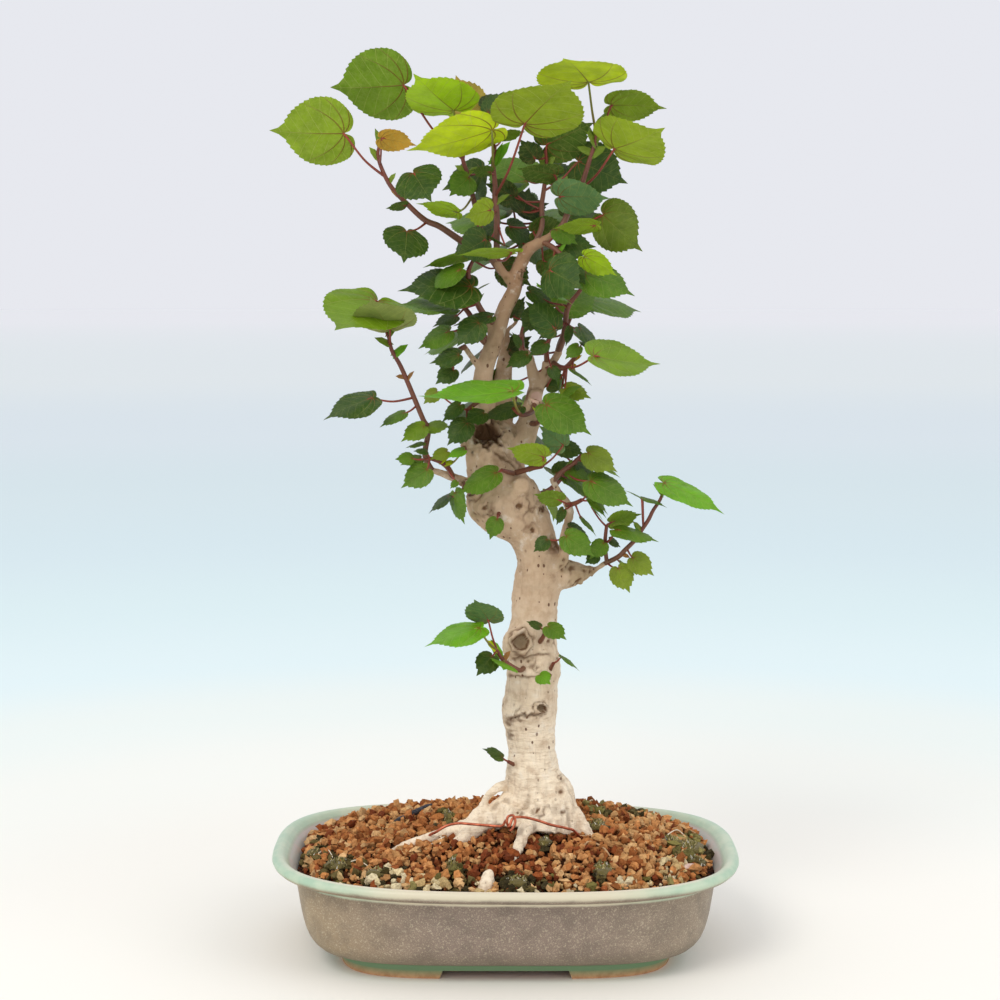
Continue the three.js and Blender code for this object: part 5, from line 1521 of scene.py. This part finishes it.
leafShape = {
    # angle from the tip, radius over the length
    "outline": [
        [0, 1.0], [2, 0.925], [4.5, 0.855], [8, 0.81], [13, 0.785], [20, 0.757], [28, 0.725], [40, 0.677],
        [52, 0.623], [64, 0.562], [76, 0.497], [88, 0.43], [100, 0.368], [112, 0.31], [125, 0.25],
        [140, 0.183], [153, 0.132], [164, 0.08],
    ],
    "notch": 164,
    "droop": 0.1,
    "fold": 0.08,
    "quilt": 0.012,
    "thickness": 0.5,
    "teeth": [8, 26],
    # main veins leave the stalk at these angles and bend towards the tip
    "veins": [0, 1.25, 1.9, 2.55],
    "veinSweep": 1.25,
    "rungStep": 0.14,
    "rungSlant": 0.8,
    "stalkRadius": 0.58,
    "stalkDroop": 0.08,
    "glow": 0.36,
    "redStalk": [(112, 52, 38), (158, 62, 44)],
    "greenStalk": [(118, 88, 44), (140, 150, 54)],
    "greenStalked": "ybw",
    "stem": [(120, 84, 62), (112, 50, 36)],
    "shadow": (70, 100, 30),
    "veinPale": (212, 214, 118),
    "veinUnder": (142, 84, 44),
    "veinTop": (150, 84, 44),
    "light": (214, 226, 90),
}
scaleShape = {
    # bud scales and stipules are slender blades
    "width": 0.42,
    "thickness": 0.7,
    "curl": 0.3,
}


def outlineAt(angle):
    rows = leafShape["outline"]
    for (a, first), (b, second) in zip(rows, rows[1:]):
        if angle <= b:
            return first + (second - first) * (angle - a) / (b - a)
    return rows[-1][1]


def bladeFrame(base, tip, roll):
    midrib = tip - base
    length = midrib.length
    midrib = midrib / length
    up = (Vector((0, 0, 1)) - midrib * midrib.z).normalized()
    away = midrib.cross(up)
    if away.y < 0:
        away.negate()
    turn = math.radians(roll)
    normal = up * math.cos(turn) + away * math.sin(turn)
    return midrib, normal, normal.cross(midrib), length


def veinShare(angle, radius):
    # how far a place lies between the main vein inside it and the next, from 0 to 1
    swept = angle * (1 + leafShape["veinSweep"] * radius)
    veins = [*leafShape["veins"], 3.2]
    for inner, outer in zip(veins, veins[1:]):
        if swept < outer:
            return (swept - inner) / (outer - inner)
    return 1


def addBlade(bm, layers, base, tip, roll, width, look, slender=False):
    midrib, normal, across, length = bladeFrame(base, tip, roll)
    tint, leafMap = layers
    fewest, most = leafShape["teeth"]
    teeth = 2 if slender else min(max(round(length * 0.62), fewest), most)
    radial = 3 if slender else 5 if length < 17 else 7
    spokes = 4 * teeth
    tooth = min(max(0.8 / length, 0.018), 0.05)
    phase = dice.uniform(0, fullTurn)
    wave = 0 if slender else dice.uniform(0.008, 0.022)
    curl = scaleShape["curl"] if slender else dice.uniform(0.02, 0.1)
    gain = dice.uniform(0.92, 1.1)
    thickness = (scaleShape if slender else leafShape)["thickness"]
    corners = []
    upperSide = -1 if abs(roll) > 90 else 1

    def spoke(i, j):
        share = 2 * i / spokes - 1
        angle = leafShape["notch"] * share
        reach = outlineAt(abs(angle))
        if slender:
            reach = (1 - abs(share)) ** 0.75 * 0.94 + 0.06
        elif i % 2 == 0 and i != spokes // 2:
            # a tooth, leaning towards the tip
            angle -= math.copysign(0.8 * leafShape["notch"] / spokes, angle)
            reach *= 1 + tooth
        elif i != spokes // 2:
            reach *= 1 - tooth
        out = j / radial
        radius = reach * out
        turn = math.radians(angle)
        return radius * math.cos(turn), radius * math.sin(turn), out

    for side in (1, -1):
        def place(i, j):
            forward, sideways, out = spoke(i, j)
            radius = math.hypot(forward, sideways)
            angle = math.atan2(abs(sideways), forward)
            sag = leafShape["droop"] * forward * abs(forward) + leafShape["fold"] * abs(sideways * width)
            sag += curl * max(0, forward - 0.6) ** 2
            bulge = math.sin(math.pi * min(veinShare(angle, radius), 1))
            quilt = upperSide * leafShape["quilt"] * bulge * smoothStep(0.05, 0.35, radius)
            ripple = wave * out ** 2 * math.sin(5 * math.copysign(angle, sideways) + phase)
            edge = side * 0.5 * thickness * (1 - out ** 3)
            return (base + midrib * (forward * length) + across * (sideways * width * length)
                    + normal * ((quilt + ripple - sag) * length + edge))

        verts, numbers = mappedGrid(bm, spokes, radial, place)
        under = 0 if side == upperSide else 1
        light = (*shade(*leafColours[look][under], gain=gain)[:3], float(under))
        for face in facesOf(verts):
            for loop in face.loops:
                loop[leafMap].uv = spoke(*numbers[loop.vert])[:2]
                loop[tint] = light
        corners += verts
    faces = facesOf(corners)
    bmesh.ops.remove_doubles(bm, verts=corners, dist=0.002)
    bmesh.ops.recalc_face_normals(bm, faces=[face for face in faces if face.is_valid])


def nearestOnStems(paths, point):
    best = None
    for path in paths:
        for place, radius in path:
            away = (place - point).length
            if best is None or away < best[0]:
                best = (away, place)
    return best[1]


def addLeaf(bm, layers, row, look, paths):
    across, up, depth, tipAcross, tipUp, tipDepth, roll, width, *rest = row
    base = seen(across, up, depth)
    tip = seen(across + tipAcross, up + tipUp, depth + tipDepth)
    foot = seen(*rest[0]) if rest else base
    if paths:
        foot = nearestOnStems(paths, foot)
    addBlade(bm, layers, base, tip, roll, width, look)
    reach = (foot - base).length
    if reach < 0.3:
        return
    midrib, normal, side, length = bladeFrame(base, tip, roll)
    radius = leafShape["stalkRadius"] * (0.8 + min(length, 50) / 120)
    bend = (foot + base) / 2 - Vector((0, 0, leafShape["stalkDroop"] * reach))
    rows = [(foot, radius * 1.3), (bend, radius), (base - normal * 0.25, radius * 0.92),
            (base + midrib * min(3, 0.12 * length) - normal * 0.15, radius * 0.5)]
    if reach < 5:
        rows.pop(1)
    colours = leafShape["greenStalk" if look in leafShape["greenStalked"] else "redStalk"]
    tints = [shade(*colour) for colour in colours]
    addTube(bm, smoothPath(rows, 1.6), 7, tints, layers[0], 1)


def makeShoot(name, shoot, materials):
    bm = bmesh.new()
    tint = bm.loops.layers.float_color.new("tint")
    leafMap = bm.loops.layers.uv.new("blade")
    layers = (tint, leafMap)
    paths = [drawnPath(rows, 1.6) for rows in shoot.get("stems", [])]
    for path in paths:
        addTube(bm, path, 9, [shade(*colour) for colour in leafShape["stem"]], tint, 1)
    for row, look in zip(shoot["leaves"], shoot["looks"]):
        addLeaf(bm, layers, row, look, paths)
    for across, up, tipAcross, tipUp, look in buds.get(name, []):
        foot = nearestOnStems(paths, seen(across, up, shoot["stems"][0][-1][2]))
        tip = foot + Vector((tipAcross, dice.uniform(-2, -0.5), tipUp)) * 0.95
        addBlade(bm, layers, foot, tip, dice.uniform(-80, -40), scaleShape["width"], look, slender=True)
    finishPiece("shoot_" + name, bm, materials, [name], sharpFrom=55)


def foliageFinish():
    material = newMaterial("living leaf")
    place = objectPlace()
    tint, under = ownColour("tint")
    bladeMap = node("ShaderNodeUVMap", uv_map="blade").outputs["UV"]
    forward, sideways = axes(bladeMap)[:2]
    sideways = calc("ABSOLUTE", sideways)
    radius = calc("SQRT", plus(times(forward, forward), times(sideways, sideways)))
    angle = calc("ARCTAN2", sideways, forward)
    bend = plus(1, times(radius, leafShape["veinSweep"]))
    swept = times(angle, bend)
    # the gap to the nearest main vein, and to the one on the inner side
    gap, inner = swept, swept
    for before, vein in zip(leafShape["veins"], leafShape["veins"][1:]):
        gap = calc("MINIMUM", gap, calc("ABSOLUTE", minus(swept, vein)))
        past = calc("GREATER_THAN", swept, vein)
        inner = minus(inner, times(past, vein - before))
    spread = calc("DIVIDE", radius, bend)
    off = times(spread, gap)
    # main veins from the stalk, thinner outwards
    widthHere = calc("MAXIMUM", minus(0.0095, times(radius, 0.008)), 0.003)
    main = ramp(calc("DIVIDE", off, widthHere), 1.2, 0.4)
    rung = minus(radius, times(times(spread, inner), leafShape["rungSlant"]))
    ladder = calc("PINGPONG", rung, leafShape["rungStep"] / 2)
    minor = times(ramp(ladder, 0.0065, 0.0015), ramp(radius, 0.16, 0.3))
    net = ramp(cells(bladeMap, 30, feature="DISTANCE_TO_EDGE")["Distance"], 0.07, 0.0)
    cloud = grain(place, 90, 3)
    blotch = grain(place, 420, 3)
    colour = blend(ramp(cloud, 0.3, 0.7, 0, 0.3), tint, leafShape["shadow"], "MULTIPLY")
    # veins and soft blotches are paler than the blade, most of all underneath
    pale = blend(ramp(under, 0, 1, 0.34, 0.6), tint, leafShape["veinPale"])
    colour = blend(ramp(blotch, 0.4, 0.75, 0, 0.3), colour, pale)
    colour = blend(times(net, 0.2), colour, pale)
    colour = blend(times(minor, 0.7), colour, pale)
    reddish = blend(ramp(radius, 0.2, 0.85), leafShape["veinUnder"], pale)
    topVein = blend(ramp(radius, 0.05, 0.3), leafShape["veinTop"], pale)
    vein = blend(under, topVein, reddish)
    colour = blend(times(main, 0.85), colour, vein)
    relief = plus(main, times(minor, 0.55))
    relief = plus(relief, times(net, 0.18))
    flip = minus(times(under, 2), 1)
    height = times(relief, flip)
    normal = bump(height, 0.0005, 0.7)
    body = coated(colour, ramp(under, 0, 1, 0.4, 0.62), normal, gloss=0.4)
    glow = node("ShaderNodeBsdfTranslucent",
                {"Color": blend(0.35, colour, leafShape["light"]), "Normal": normal})
    both = node("ShaderNodeMixShader", {0: leafShape["glow"], 1: body, 2: glow.outputs["BSDF"]})
    surface(both.outputs["Shader"])
    return material


# bud scales, stipules and dry bits: across, up, tip from there, look
buds = {
    "top_left": [[-72, 503, -2, 9, "s"], [-72, 500, 5, 7, "s"], [-71, 494, -5, 7, "s"],
                 [-66, 478, 4, 6, "s"], [-60, 470, -5, 5, "k"]],
    "top_centre_left": [[-23, 484, -7, 4, "s"], [-21, 484, 6, 5, "s"], [-24, 502, 3, 6, "s"]],
    "top_centre": [[-4, 488, 4, 14, "b"], [-3, 490, 9, 13, "b"], [-2, 466, -9, 4, "s"],
                   [-1, 466, 8, 6, "s"], [-3, 498, -3, 9, "s"]],
    "top_right": [[56, 502, -6, 14, "s"], [58, 506, 5, 16, "s"], [54, 496, -9, 4, "s"],
                  [55, 495, 9, 6, "s"], [42, 463, -6, 5, "k"], [44, 466, 6, 4, "k"]],
    "top_middle": [[26, 487, -5, 11, "s"], [28, 488, 5, 9, "s"], [27, 478, 8, 5, "s"]],
    "long_left": [[-67, 387, 6, 9, "s"], [-66, 381, -9, 5, "s"], [-64, 374, 8, 7, "b"],
                  [-57, 362, -6, 1, "k"], [-56, 360, 4, 6, "k"]],
    "long_right": [[84, 268, -3, 7, "b"], [86, 270, -5, 6, "s"], [99, 290, -5, 7, "s"],
                   [73, 256, 5, -2, "k"]],
    "low_left_sprout": [[0, 195, -5, 10, "b"], [-1, 199, -6, 7, "y"], [3, 192, 4, 6, "k"]],
    "upper_left": [[-12, 404, 3, 7, "s"]],
    "right_rising": [[40, 400, -4, 4, "k"], [43, 408, 4, 5, "s"]],
    "middle_right": [[38, 368, 5, -2, "w"], [42, 370, 5, 3, "w"], [34, 369, 5, -4, "k"]],
    "front_small": [[-17, 345, 5, -3, "y"]],
    "stump_shoot": [[22, 335, -4, 8, "y"], [23, 336, 5, 6, "w"]],
    "upper_right": [[33, 438, 4, 5, "b"]],
    "lower_left": [[-30, 305, 7, 2, "y"], [-34, 309, 6, 5, "y"]],
    "low_front_right": [[10, 305, 6, 6, "b"]],
    "right_spray": [[40, 307, 3, 6, "s"]],
}

leaf = foliageFinish()
stalk = plainFinish("young stem", [(240, 3), (1600, 2)], None,
                    [(0, 0.4, 0.75, 0.45, (86, 52, 36)), (1, 0.66, 0.78, 0.6, (206, 160, 118))], 0.5,
                    ((0, 1), 0.0002, 0.6))
for name, shoot in shoots.items():
    makeShoot(name, shoot, [leaf, stalk])
print("shoots made,", len(shoots))
